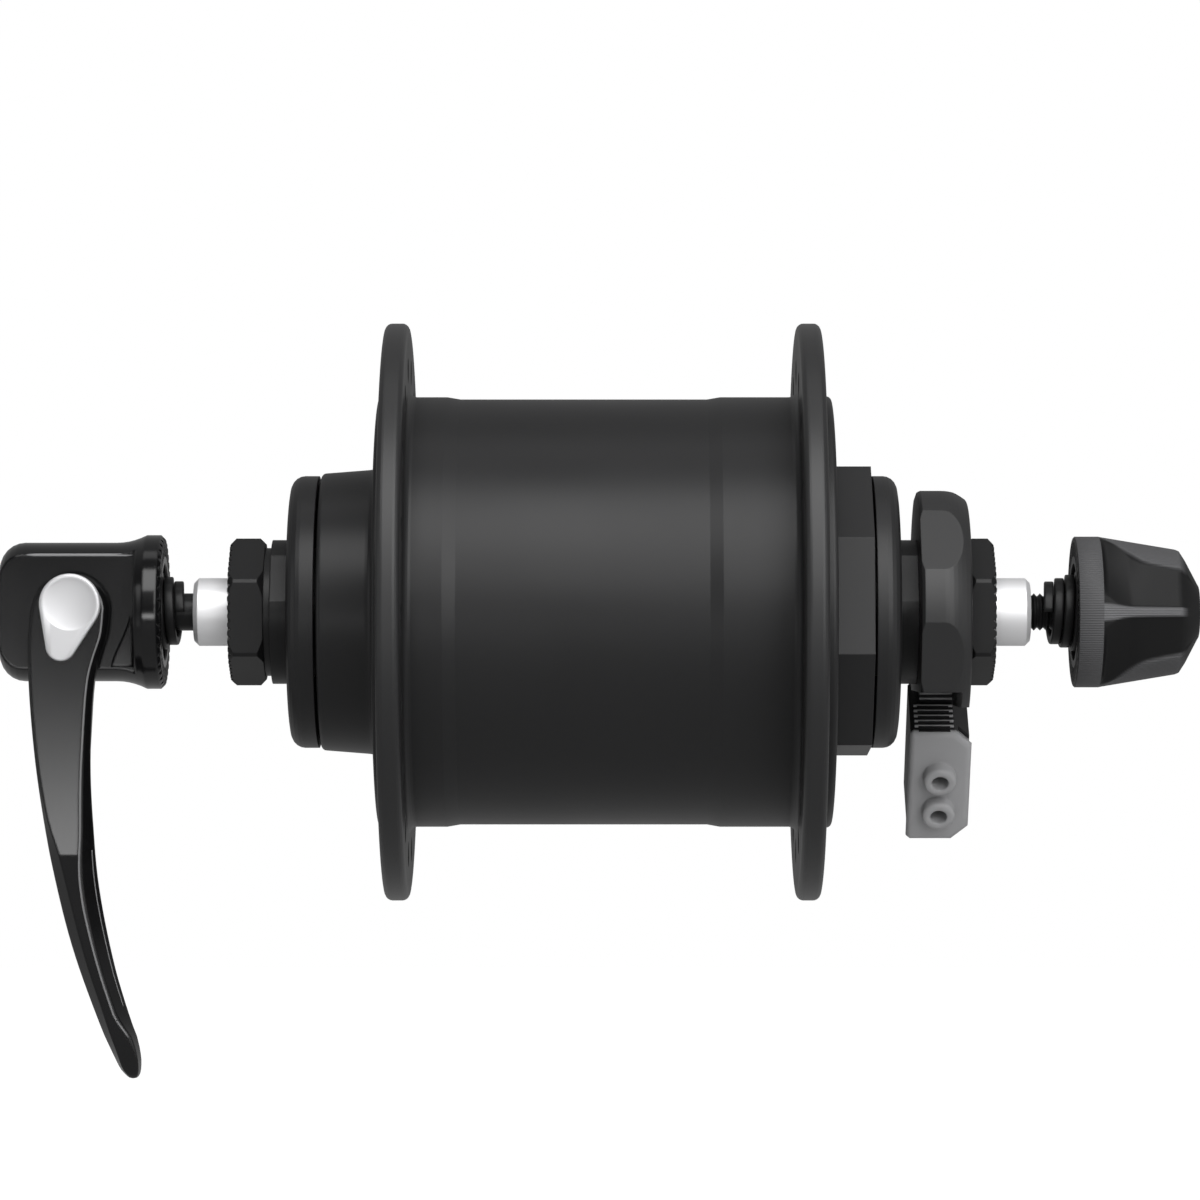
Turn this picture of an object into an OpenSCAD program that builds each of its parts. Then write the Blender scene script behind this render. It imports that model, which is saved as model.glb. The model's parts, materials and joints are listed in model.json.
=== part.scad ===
// Front wheel hub dynamo with a quick release skewer.
// The hub axis is X, +Z is up, and the origin is on that axis, midway between the lock nut faces.
// Lengths are in millimetres and angles in degrees.

/* [Axle and lock nuts] */
// Distance between the outer faces of the lock nuts
over_lock_nuts = 100; // [96:0.5:106]
// Diameter of the axle stubs that sit in the dropouts
axle_d = 8.9; // [8.6:0.05:9.1]
// Diameter of the threaded middle of the axle
axle_thread_d = 9.5; // [9.4:0.05:9.8]
// Bore of the hollow axle
axle_bore_d = 5.5; // [5.3:0.1:5.8]
// Axle stub that stands out of each lock nut
stub_len = 4.8; // [3.5:0.1:5.2]
// Width across the flats of the lock nuts
lock_nut_af = 17; // [16:0.25:18]
// Thickness of the left lock nut
left_nut_t = 4.6; // [3.5:0.1:6]
// Thickness of the right lock nut
right_nut_t = 3.5; // [3:0.1:5]
// Number of grip teeth on a lock nut face
nut_teeth = 48; // [24:2:52]
// Depth of the grip teeth
tooth_depth = 0.4; // [0.2:0.05:0.6]
// Thickness of the washer behind the left lock nut
washer_t = 0.9; // [0.5:0.1:1.5]
// Diameter of that washer
washer_d = 16.8; // [14:0.2:18]

/* [Bearings] */
// Ball diameter
ball_d = 4.76; // [3.97:0.01:4.8]
// Number of balls in each bearing
ball_count = 10; // [8:1:10]
// Diameter of the circle of ball centres
ball_circle_d = 20; // [19:0.2:21]
// Diameter of the cone collar that takes the cone spanner
collar_d = 18.9; // [18.2:0.1:20]
// Width across the spanner flats of the collar
collar_af = 17.6; // [17.2:0.1:18.4]
// Length of the left cone collar
left_collar_t = 2.5; // [1.5:0.1:4]
// Length of the right cone collar
right_collar_t = 2.6; // [2:0.1:5]
// Diameter of the dust covers
cover_d = 35.7; // [34.5:0.1:36.2]
// Thickness of the left dust cover
left_cover_t = 3.6; // [3.3:0.1:4.5]
// Thickness of the right dust cover
right_cover_t = 3.2; // [3.1:0.1:4]
// Edge radius of the dust covers
cover_round = 1.8; // [0.8:0.1:1.9]
// Wall of the dust covers
cover_wall = 1.2; // [0.8:0.1:1.3]
// Running gap between a dust cover and the part that turns beside it
cover_gap = 0.35; // [0.3:0.05:0.8]

/* [Hub shell] */
// Thickness of the spoke flanges
flange_t = 3.1; // [2.4:0.1:3.6]
// Distance between the inner faces of the flanges
flange_span = 50.7; // [48:0.1:53]
// Sideways offset of the flange pair from the hub centre
flange_shift = -1.2; // [-2:0.1:0]
// Spoke holes in each flange
spoke_count = 18; // [14:1:18]
// Distance from the raised bands out to the left spoke hole centres
spoke_from_band = 3.8; // [3.4:0.1:6]
// How much nearer the axle the right spoke hole centres are
right_spoke_step = 0.6; // [0.6:0.1:1]
// Distance from the left spoke hole centres to the flange rim
spoke_to_rim = 5.85; // [3:0.05:8]
// Diameter of a spoke hole
spoke_hole_d = 2.6; // [2.2:0.1:3]
// Inside diameter of the barrel between the flanges
shell_bore_d = 51; // [49:0.1:58]
// Wall of the barrel
shell_wall = 2.4; // [2:0.1:4]
// Height of the raised bands at both ends of the barrel
band_h = 0.3; // [0.1:0.05:0.6]
// Length of the left raised band
left_band_len = 5; // [3:0.1:12]
// Length of the right raised band
right_band_len = 10; // [5:0.1:18]
// Length of the slope between a band and the barrel
band_slope = 1.7; // [0.8:0.1:3]
// Height of the stepped disc outside each flange above the bands
disc_step = 0.1; // [0:0.05:0.6]
// Height of the left disc above its flange
left_disc_h = 0.9; // [0.6:0.1:1.5]
// Thickness of the left web that closes the shell
web_t = 3.4; // [2.5:0.1:4]
// Diameter of the left bearing boss at its outer end
boss_d = 36.4; // [36:0.1:37.2]
// Diameter of the left bearing boss at the web
boss_root_d = 37.3; // [36.5:0.1:38.5]

/* [Right end cap] */
// Height of the cap disc above the right flange
cap_disc_h = 1.45; // [1:0.05:2]
// Width across the flats of the eight sided boss
octagon_af = 36.5; // [35:0.25:38]
// Turn of the eight sided boss about the axle
octagon_turn = 16; // [0:1:45]
// Length of the cap spigot inside the shell
spigot_len = 6.2; // [5:0.1:8]
// Section diameter of the sealing ring on the spigot
o_ring_d = 1.5; // [1:0.1:1.8]

/* [Generator] */
// Magnet poles around the rotor
pole_count = 28; // [20:4:32]
// Length of the magnet ring
magnet_len = 26; // [22:0.5:30]
// Thickness of the magnets
magnet_t = 2.5; // [2:0.1:3]
// Thickness of the steel ring behind the magnets
yoke_t = 2; // [1.5:0.1:2.5]
// Air gap between magnets and claws
air_gap = 0.4; // [0.3:0.05:0.8]
// Length of the stator over its claw plates
stator_len = 24; // [20:0.5:26]
// Thickness of the claw plates
claw_t = 2; // [1.5:0.1:2.5]
// Diameter of the steel core inside the coil
core_d = 16; // [14.5:0.1:18]
// Wall of the coil bobbin
bobbin_wall = 1.1; // [0.8:0.1:1.5]
// Width across the flats of the stator nuts
stator_nut_af = 14; // [13:0.5:16]
// Thickness of the stator nuts
stator_nut_t = 3.5; // [2.5:0.1:5]
// Diameter of the insulated coil lead
lead_d = 0.8; // [0.6:0.05:0.9]

/* [Terminal and connector] */
// Length of the terminal ring along the axle
ring_len = 6.6; // [6.2:0.1:7.4]
// Diameter of the terminal ring at its inner end
ring_d = 32.2; // [31.6:0.1:33]
// Diameter of the terminal ring at its outer end
ring_end_d = 29.6; // [29:0.1:31]
// Width across the six finger flats of the ring
ring_af = 30.7; // [30:0.1:31.5]
// Distance from the axle down to the flat underside of the ring
ring_cut = 10.4; // [9.5:0.1:11]
// Lean of the connector from straight down, backwards
connector_lean = 36.87; // [30:0.01:42]
// Width of the connector along the axle
connector_w = 7.9; // [7.2:0.1:9]
// Length of the connector
connector_len = 17.7; // [15:0.1:22]
// Front of the connector, measured from the axle plane
connector_front = 5.3; // [4.8:0.1:6]
// Back of the connector, measured from the axle plane
connector_back = 6; // [5.8:0.1:7]
// Thickness of the connector cap
cap_t = 2.6; // [2:0.1:3.2]
// Cut corner of the connector
connector_cut = 2.2; // [1:0.1:2.6]
// Thickness of the roof that the connector cover has above its cap
roof_t = 0.6; // [0.5:0.05:1]
// Pitch of the grip ribs on the connector
rib_pitch = 1.1; // [0.9:0.05:1.4]
// Outside diameter of the wire bosses
wire_boss_d = 4.4; // [3.6:0.1:4.8]
// Length of the wire bosses
wire_boss_len = 2.1; // [1:0.1:3]
// Bore for each lamp wire
wire_bore_d = 2.2; // [1.6:0.1:2.8]
// Distance between the two wire bores
wire_pitch = 5.75; // [5.2:0.05:6.5]
// Width of the contact tongue along the axle
tongue_w = 4.2; // [3.4:0.1:4.6]
// Thickness of the contact tongue
tongue_t = 2.4; // [2:0.1:2.8]
// Length of the contact tongue inside the connector
tongue_len = 5.5; // [4.6:0.1:6.2]

/* [Quick release] */
// Outside diameter of the skewer thread
rod_d = 4.9; // [4.7:0.05:5]
// Thread pitch of the skewer
thread_pitch = 0.8; // [0.7:0.05:1]
// Gap for the left dropout, from lock nut to housing
left_drop_gap = 8.7; // [8.2:0.1:12]
// Gap for the right dropout, from lock nut to adjusting nut
right_drop_gap = 10.6; // [10:0.1:13]
// Diameter of the lever housing
housing_d = 18.2; // [17.6:0.1:20]
// Length of the lever housing
housing_len = 21.8; // [21:0.1:24]
// Diameter of the flared collar of the lever housing
flare_d = 20.2; // [19.4:0.1:22]
// Distance from the lever flat of the housing to the skewer axis
housing_flat = 5.2; // [5:0.1:6]
// Distance of the lever pivot from the serrated housing face
pivot_in = 11.7; // [11:0.1:12]
// Diameter of the cam shaft journals
cam_d = 6; // [5.6:0.1:6.2]
// Offset of the cam, half of its throw
cam_offset = 0.9; // [0.6:0.05:1]
// Diameter of the eccentric
eccentric_d = 4; // [3.4:0.1:4.1]
// Length of the lever from its pivot to its tip
lever_len = 61; // [50:0.5:70]
// Radius of the lever's outer edge
lever_edge_r = 155; // [110:1:220]
// Width of the lever at its pivot
lever_root_w = 9.5; // [8.8:0.1:10.5]
// Width of the lever at its tip
lever_tip_w = 3.7; // [3:0.1:5]
// Thickness of the lever at its pivot
lever_t = 3.2; // [2.6:0.1:4]
// Depth of the lever paddle
paddle_depth = 11; // [8:0.1:15]
// Diameter of the lever eye
lever_eye_d = 9.8; // [9:0.1:11]
// Wire diameter of the conical springs
spring_wire_d = 0.95; // [0.6:0.05:1]
// Mean diameter of the springs at their small end
spring_small_d = 6.8; // [6.7:0.05:7.2]
// Mean diameter of the springs at their large end
spring_large_d = 10.8; // [9.8:0.1:11]
// Curls of the left spring
left_spring_turns = 3.5; // [2:0.5:3.5]
// Curls of the right spring
right_spring_turns = 4.5; // [3:0.5:5]
// Diameter of the spring recess in the housing and in the nut
recess_d = 12.8; // [12.4:0.1:14]
// Depth of that recess
recess_depth = 3.2; // [2.5:0.1:3.4]
// Diameter of the adjusting nut collar
knob_d = 19.8; // [19.2:0.1:21]
// Length of the adjusting nut
knob_len = 16.4; // [15:0.1:19]
// Length of its round collar
knob_collar_len = 3.2; // [2.5:0.1:4]
// Distance from the adjusting nut's face to the end of its grips
knob_grip_len = 13.8; // [12:0.1:14.4]
// Length of the skewer inside the adjusting nut
rod_reach = 11.6; // [10.6:0.1:12]
// Diameter of the adjusting nut at the end of its grips
knob_end_d = 16.4; // [15.5:0.1:17.5]
// Depth of the finger scoops below the grips
scoop_depth = 0.8; // [0.3:0.05:1]

/* [Hidden] */
$fn = 64;

// Fits: parts pressed or screwed together, a turning journal, a sliding plug
fit_gap = 0.02;
run_gap = 0.05;
plug_gap = 0.2;
race_gap = 0.04;
cut_over = 1;

axle_r = axle_d / 2;
axle_end = over_lock_nuts / 2 + stub_len;
stub_chamfer = 0.6;
thread_r = axle_thread_d / 2;
bore_on_axle = thread_r + fit_gap;

// Stack of the left side, from the lock nut face inwards
left_face = -over_lock_nuts / 2;
left_nut_in = left_face + left_nut_t;
left_collar_out = left_nut_in + washer_t;
left_cover_out = left_collar_out + left_collar_t;
left_cover_in = left_cover_out + left_cover_t;
boss_end = left_cover_in + cover_gap;
// Stack of the right side
right_face = over_lock_nuts / 2;
ring_out = right_face - right_nut_t;
ring_in = ring_out - ring_len;
right_cover_out = ring_in - right_collar_t;
right_cover_in = right_cover_out - right_cover_t;
octagon_end = right_cover_in - cover_gap;

// Flanges and shell
barrel_d = shell_bore_d + 2 * shell_wall;
band_d = barrel_d + 2 * band_h;
disc_d = band_d + 2 * disc_step;
spoke_circle_d = band_d + 2 * spoke_from_band;
right_spoke_circle_d = spoke_circle_d - 2 * right_spoke_step;
flange_d = spoke_circle_d + 2 * spoke_to_rim;
left_flange_in = flange_shift - flange_span / 2;
left_flange_out = left_flange_in - flange_t;
right_flange_in = flange_shift + flange_span / 2;
right_flange_out = right_flange_in + flange_t;
left_disc_x = left_flange_out - left_disc_h;
web_in = left_disc_x + web_t;
cap_disc_x = right_flange_out + cap_disc_h;
flange_round = 0.9;
edge_round = 0.6;
root_fillet = 1;
boss_fillet = 1.2;
spoke_turn = 1;
spoke_sink = 0.45;
left_band_end = left_flange_in + left_band_len;
right_band_end = right_flange_in - right_band_len;

// Bearings: u runs outwards along the axle from the plane of the balls
ball_r = ball_d / 2;
ball_circle_r = ball_circle_d / 2;
race_depth = 0.8;
race_r = ball_circle_r - ball_r + race_depth;
cup_bore_r = ball_circle_r + ball_r - race_depth;
cup_wall = 3.2;
cup_r = cup_bore_r + cup_wall;
seal_step = 0.8;
seal_r = cup_r + seal_step;
shoulder_step = 0.6;
shoulder_r = cup_bore_r + shoulder_step;
cup_half = 2.5;
seal_t = 1.1;
seal_room = 0.25;
seal_inset = 0.4;
ball_depth = cup_half + seal_t + seal_inset;
left_ball_x = boss_end + ball_depth;
right_ball_x = octagon_end - ball_depth;
cage_r_in = race_r + 0.5;
cage_r_out = cup_bore_r - 0.5;
cage_gap = 0.12;
cage_web = 0.5;
cage_cut = 0.8;

// Generator
shell_bore_r = shell_bore_d / 2;
yoke_r = shell_bore_r - run_gap;
magnet_r = yoke_r - yoke_t;
magnet_bore_r = magnet_r - magnet_t;
claw_r = magnet_bore_r - air_gap;
finger_t = 1.8;
finger_fill = 0.68;
finger_tip_gap = 0.6;
bobbin_r = claw_r - finger_t - 0.4;
core_r = core_d / 2;
stator_left = flange_shift - stator_len / 2;
stator_right = flange_shift + stator_len / 2;
window_left = stator_left + claw_t;
window_right = stator_right - claw_t;
magnet_slot = 1;
winding_room = 0.5;

// Lead: a groove in the axle takes it to the terminal ring
lead_r = lead_d / 2;
groove_w = lead_d + 0.3;
groove_floor = thread_r - lead_d - 0.1;
lead_level = groove_floor + lead_r + 0.02;
lead_inset = 3;
lead_start = window_right - lead_inset;
lead_end = (ring_in + ring_out) / 2;
lead_rise = 5.5;
lead_top = thread_r + lead_rise;

// Terminal ring and connector: depth runs from the axle towards the connector
ring_turn = 22.4;
ring_round = 0.9;
ring_flat_share = 0.45;
ring_chamfer = 0.4;
ring_lip = 1.2;
ring_lip_drop = 2;
ring_clear = 0.15;
connector_top = ring_d / 2 + ring_clear;
connector_end = connector_top + connector_len;
connector_shift = 0.35;
connector_mid = (ring_in + ring_out) / 2 + connector_shift;
connector_left = connector_mid - connector_w / 2;
connector_right = connector_mid + connector_w / 2;
connector_edge = 0.5;
cap_seam = connector_front - cap_t;
tongue_back = connector_back - 1;
tongue_front = tongue_back - tongue_t;
contact_t = 0.4;
contact_w = 1.4;
contact_gap = 0.5;
contact_root = lead_top + 0.05;
tongue_end = connector_top + tongue_len;
first_wire_depth = 6.75;
first_wire = connector_top + first_wire_depth;
rib_h = 0.35;
rib_w = 0.5;
rib_inset = 0.2;
socket_front = tongue_front - contact_t - plug_gap;
root_wall = 0.6;
root_half = tongue_w / 2 + root_wall;
root_clear = 0.1;
rib_room = connector_front - rib_inset + socket_front - root_wall - root_clear - rib_w;
ribs = 1 + floor(rib_room / rib_pitch);
wire_depth = 4;

// Quick release
rod_r = rod_d / 2;
housing_r = housing_d / 2;
flare_r = flare_d / 2;
housing_face = left_face - left_drop_gap;
housing_end = housing_face - housing_len;
pivot_x = housing_face - pivot_in;
dome_h = 0.3;
end_round = 3.2;
end_arc = 75;
flare_start = 6.3;
flare_land = 2.3;
face_chamfer = 0.5;
collar_len = 3.5;
recess_r = recess_d / 2;
head_r = 3.9;
head_gap = 0.15;
head_left = 4.6;
head_right = 4.4;
head_stroke = 2 * cam_offset;
cam_r = cam_d / 2;
eccentric_r = eccentric_d / 2;
eye_gap = 0.3;
eccentric_half = head_r + head_gap / 2;
rear_journal = housing_r - 2.6;
lever_gap = 0.1;
lever_back = housing_flat + lever_gap;
lever_front = lever_back + lever_t;
lever_clear = 13.2;
paddle_start = 24;
lever_share = 0.62;
nose_start = 28;
tip_round = 2;
head_t = 0.7;
head_big_r = 4;
head_small_r = 2;
head_lift = 1;
head_drop = [-1.15, -5.4];
dimple_r = 3.4;
dimple_depth = 0.7;
knob_face = right_face + right_drop_gap;
knob_end = knob_face + knob_len;
knob_collar_end = knob_face + knob_collar_len;
knob_grip_end = knob_face + knob_grip_len;
knob_tip_r = 3.4;
knob_r = knob_d / 2;
knob_end_r = knob_end_d / 2;
flat_turn = 27;
flat_step = 0.2;
insert_r = knob_r - 0.7;
insert_flange_t = 1.6;
insert_wall = 0.9;
insert_len = 9.4;
nut_tooth_r = 7.4;
face_tooth_r = 7.3;
face_tooth_count = 40;
rod_end = knob_face + rod_reach;
rod_thread_start = axle_end - 5;
thread_depth = 0.4;
spring_seat_gap = 0.1;
left_spring_x = housing_face - recess_depth;
right_spring_x = knob_face + recess_depth;
left_spring_room = 2.2;
right_spring_room = 2.7;
left_spring_len = left_drop_gap - stub_len + recess_depth - left_spring_room;
right_spring_len = right_drop_gap - stub_len + recess_depth - right_spring_room;
spring_sides = 6;
spring_rings = 8;

// Points of an arc, as radius and place along the axle
function arc(r, x, size, from, to, steps = 5) =
    [for (i = [0:steps]) let (a = from + (to - from) * i / steps) [r + size * cos(a), x + size * sin(a)]];

// A turned piece about the axle, from points of radius and place along the axle
module turned(points) {
    rotate([0, 90, 0]) rotate_extrude() polygon(points);
}

module sleeve(x_from, x_to, r_in, r_out) {
    turned([[r_in, x_from], [r_out, x_from], [r_out, x_to], [r_in, x_to]]);
}

module rod_x(x_from, x_to, r) {
    translate([x_from, 0, 0]) rotate([0, 90, 0]) cylinder(h = x_to - x_from, r = r);
}

module rod_y(y_from, y_to, r) {
    translate([0, y_from, 0]) rotate([-90, 0, 0]) cylinder(h = y_to - y_from, r = r);
}

// A regular prism along the axle, by its width across flats
module prism_x(x_from, x_to, across, sides, turn) {
    rotate([turn, 0, 0]) translate([x_from, 0, 0]) rotate([0, 90, 0])
        cylinder(h = x_to - x_from, r = across / 2 / cos(180 / sides), $fn = sides);
}

// A block given by its two corners
module block(low, high) {
    translate(low) cube(high - low);
}

// Radial grip teeth, cut into a face at x that looks along side
module face_teeth(x, side, count, r_in, r_out, depth) {
    half = PI * r_in / count * 0.9;
    for (i = [0:count - 1])
        rotate([i * 360 / count, 0, 0]) translate([x, 0, r_in])
            linear_extrude(height = r_out - r_in + cut_over)
                polygon([[side * 0.1, -half], [side * 0.1, half], [-side * depth, 0]]);
}

// Places a piece that was modelled outwards along +X at one end of the hub
module at_end(x, side) {
    translate([x, 0, 0]) mirror([side < 0 ? 1 : 0, 0, 0]) children();
}

// Axle and what is clamped on it

module axle() {
    color("silver") difference() {
        turned([[axle_bore_d / 2, -axle_end], [axle_r - stub_chamfer, -axle_end],
            [axle_r, stub_chamfer - axle_end], [axle_r, left_face], [thread_r, left_face],
            [thread_r, right_face], [axle_r, right_face], [axle_r, axle_end - stub_chamfer],
            [axle_r - stub_chamfer, axle_end], [axle_bore_d / 2, axle_end]]);
        rotate([connector_lean, 0, 0])
            block([lead_start - lead_d, -groove_w / 2, -thread_r - cut_over],
                [lead_end + lead_d, groove_w / 2, -groove_floor]);
    }
}

module lock_nut(x_from, x_to, side, teeth_x) {
    corner_r = lock_nut_af / 2 / cos(30);
    chamfer = 0.9;
    difference() {
        intersection() {
            prism_x(x_from, x_to, lock_nut_af, 6, 5.2);
            turned([[0, x_from], [corner_r - chamfer, x_from], [corner_r - 0.15, x_from + chamfer * 0.8],
                [corner_r - 0.15, x_to - chamfer * 0.8], [corner_r - chamfer, x_to], [0, x_to]]);
        }
        rod_x(x_from - cut_over, x_to + cut_over, bore_on_axle);
        face_teeth(teeth_x, side, nut_teeth, nut_tooth_r, corner_r, tooth_depth);
    }
}

module left_lock_nut() {
    color("dimgray") lock_nut(left_face, left_nut_in, -1, left_face);
}

module right_lock_nut() {
    color("dimgray") lock_nut(ring_out, right_face, 1, right_face);
}

module left_washer() {
    color("dimgray") sleeve(left_nut_in, left_collar_out, bore_on_axle, washer_d / 2);
}

// Cone with its ball race, a neck for the dust cover and a collar with spanner flats
module cone(neck_end, collar_end) {
    difference() {
        rotate([0, 90, 0]) rotate_extrude() difference() {
            polygon([[bore_on_axle, -cup_half], [race_r, -cup_half], [race_r, neck_end],
                [collar_d / 2, neck_end], [collar_d / 2, collar_end], [bore_on_axle, collar_end]]);
            translate([ball_circle_r, 0]) circle(r = ball_r + race_gap);
        }
        for (turn = [60, 240])
            rotate([turn, 0, 0])
                block([neck_end, -collar_d, collar_af / 2], [collar_end + cut_over, collar_d, collar_d]);
    }
}

module left_cone() {
    color("dimgray") at_end(left_ball_x, -1)
        cone(left_ball_x - left_cover_out, left_ball_x - left_collar_out);
}

module right_cone() {
    color("dimgray") at_end(right_ball_x, 1)
        cone(right_cover_out - right_ball_x, ring_in - right_ball_x);
}

// Cup shaped cover, open towards the bearing
module dust_cover(face, depth) {
    r = cover_d / 2;
    turned(concat([[race_r + fit_gap, face - cover_wall], [race_r + fit_gap, face], [r - cover_round, face]],
        arc(r - cover_round, face - cover_round, cover_round, 90, 0),
        [[r, face - depth], [r - cover_wall, face - depth],
            [r - cover_wall, face - cover_round], [r - cover_round, face - cover_wall]]));
}

module left_dust_cover() {
    color("#303030") at_end(left_ball_x, -1) dust_cover(left_ball_x - left_cover_out, left_cover_t);
}

module right_dust_cover() {
    color("#303030") at_end(right_ball_x, 1) dust_cover(right_cover_out - right_ball_x, right_cover_t);
}

// Stator

// The way of the coil lead, from the winding along the axle to the terminal
module lead_way(r, low, high) {
    rotate([connector_lean, 0, 0]) translate([low, 0, -lead_level]) rotate([0, 90, 0])
        cylinder(h = high - low, r = r);
}

module lead_riser(x, r, from, to) {
    rotate([connector_lean, 0, 0]) translate([x, 0, -to]) cylinder(h = to - from, r = r);
}

module stator_core() {
    color("slategray") difference() {
        sleeve(window_left, window_right, bore_on_axle, core_r);
        lead_riser(lead_start, lead_r + fit_gap, 0, core_r + cut_over);
    }
}

// Claws that reach over the coil from one plate
module claw_fingers(x_from, x_to, turn) {
    pitch = 720 / pole_count;
    half = pitch / 4 * finger_fill;
    reach = claw_r / cos(half);
    intersection() {
        sleeve(x_from, x_to, claw_r - finger_t, claw_r);
        union() {
            for (i = [0:pole_count / 2 - 1])
                rotate([turn + i * pitch, 0, 0]) translate([x_from, 0, 0]) rotate([90, 0, 90])
                    linear_extrude(height = x_to - x_from)
                        polygon([[0, 0], reach * [cos(half), -sin(half)], reach * [cos(half), sin(half)]]);
        }
    }
}

module left_claw_pole() {
    color("gray") union() {
        sleeve(stator_left, window_left, bore_on_axle, claw_r - finger_t / 2);
        claw_fingers(stator_left, window_right - finger_tip_gap, 0);
    }
}

module right_claw_pole() {
    color("gray") union() {
        sleeve(window_right, stator_right, bore_on_axle, claw_r - finger_t / 2);
        claw_fingers(window_left + finger_tip_gap, stator_right, 360 / pole_count);
    }
}

module coil_bobbin() {
    bore = core_r + fit_gap;
    color("ivory") difference() {
        turned([[bore, window_left], [bobbin_r, window_left], [bobbin_r, window_left + bobbin_wall],
            [bore + bobbin_wall, window_left + bobbin_wall], [bore + bobbin_wall, window_right - bobbin_wall],
            [bobbin_r, window_right - bobbin_wall], [bobbin_r, window_right], [bore, window_right]]);
        lead_riser(lead_start, lead_r + fit_gap, 0, bore + bobbin_wall + cut_over);
    }
}

module coil_winding() {
    color("peru") sleeve(window_left + bobbin_wall + fit_gap, window_right - bobbin_wall - fit_gap,
        core_r + bobbin_wall + 2 * fit_gap, bobbin_r - winding_room);
}

module stator_nut(x_from, x_to) {
    difference() {
        prism_x(x_from, x_to, stator_nut_af, 6, 0);
        rod_x(x_from - cut_over, x_to + cut_over, bore_on_axle);
    }
}

module left_stator_nut() {
    color("silver") stator_nut(stator_left - stator_nut_t, stator_left);
}

module right_stator_nut() {
    color("silver") stator_nut(stator_right, stator_right + stator_nut_t);
}

module coil_lead() {
    color("firebrick") union() {
        lead_way(lead_r, lead_start - lead_r, lead_end + lead_r);
        lead_riser(lead_start, lead_r, lead_level, core_r + bobbin_wall);
        lead_riser(lead_end, lead_r, lead_level, lead_top);
    }
}

// Terminal

// Places a piece in the frame of the connector, which hangs down from the axle
module in_connector_frame() {
    rotate([connector_lean, 0, 0]) children();
}

module contact_blade(place, room) {
    x = connector_mid + place * (contact_w + contact_gap) / 2;
    block([x - contact_w / 2 - room, tongue_front - contact_t - room, -tongue_end + 0.6],
        [x + contact_w / 2 + room, tongue_front + room, -contact_root + room]);
}

module contact_foot(room) {
    x = connector_mid - (contact_w + contact_gap) / 2;
    low = min(x - contact_w / 2, lead_end - lead_r);
    block([low - room, -lead_r - room, -contact_root - contact_t - room],
        [x + contact_w / 2 + room, tongue_front - contact_t / 2, -contact_root + room]);
}

module terminal_ring() {
    r_in = ring_d / 2;
    r_out = ring_end_d / 2;
    crown_x = ring_in + ring_len * ring_flat_share;
    crown_end = ring_out - ring_round * (1 - sin(45));
    crown = [for (i = [0:5]) let (t = i / 6)
        [r_in - (r_in - r_out) * t * t, crown_x + (crown_end - crown_x) * t]];
    color("#282828") difference() {
        union() {
            difference() {
                intersection() {
                    turned(concat([[bore_on_axle, ring_in], [r_in - ring_chamfer, ring_in],
                            [r_in, ring_in + ring_chamfer]], crown,
                        arc(r_out - ring_round * cos(45), ring_out - ring_round, ring_round, 45, 90),
                        [[bore_on_axle, ring_out]]));
                    prism_x(ring_in - cut_over, ring_out + cut_over, ring_af, 6, ring_turn);
                }
                block([ring_in - cut_over, -ring_d, -ring_d], [ring_out - ring_lip, ring_d, -ring_cut]);
                block([ring_in - cut_over, -ring_d, -ring_d],
                    [ring_out + cut_over, ring_d, -ring_cut - ring_lip_drop]);
            }
            in_connector_frame() {
                block([connector_mid - tongue_w / 2, tongue_front, -tongue_end],
                    [connector_mid + tongue_w / 2, tongue_back, -thread_r - 1]);
                block([connector_mid - root_half, socket_front - root_wall, -connector_top + root_clear],
                    [connector_mid + root_half, tongue_back + root_wall, -contact_root]);
            }
        }
        rod_x(ring_in - cut_over, ring_out + cut_over, bore_on_axle);
        lead_riser(lead_end, lead_r + fit_gap, 0, contact_root + contact_t);
        in_connector_frame() {
            for (place = [-1, 1]) contact_blade(place, fit_gap);
            contact_foot(fit_gap);
        }
    }
}

module terminal_contacts() {
    color("goldenrod") in_connector_frame() {
        union() {
            contact_blade(-1, 0);
            contact_foot(0);
        }
        contact_blade(1, 0);
    }
}

// Parts that turn with the wheel

module spoke_holes(face_out, face_in, circle_d, turn) {
    r = spoke_hole_d / 2;
    low = min(face_out, face_in);
    high = max(face_out, face_in);
    for (i = [0:spoke_count - 1])
        rotate([turn + i * 360 / spoke_count, 0, 0]) translate([0, 0, circle_d / 2])
            turned([[0, low - cut_over], [r + spoke_sink + cut_over, low - cut_over], [r, low + spoke_sink],
                [r, high - spoke_sink], [r + spoke_sink + cut_over, high + cut_over], [0, high + cut_over]]);
}

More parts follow.
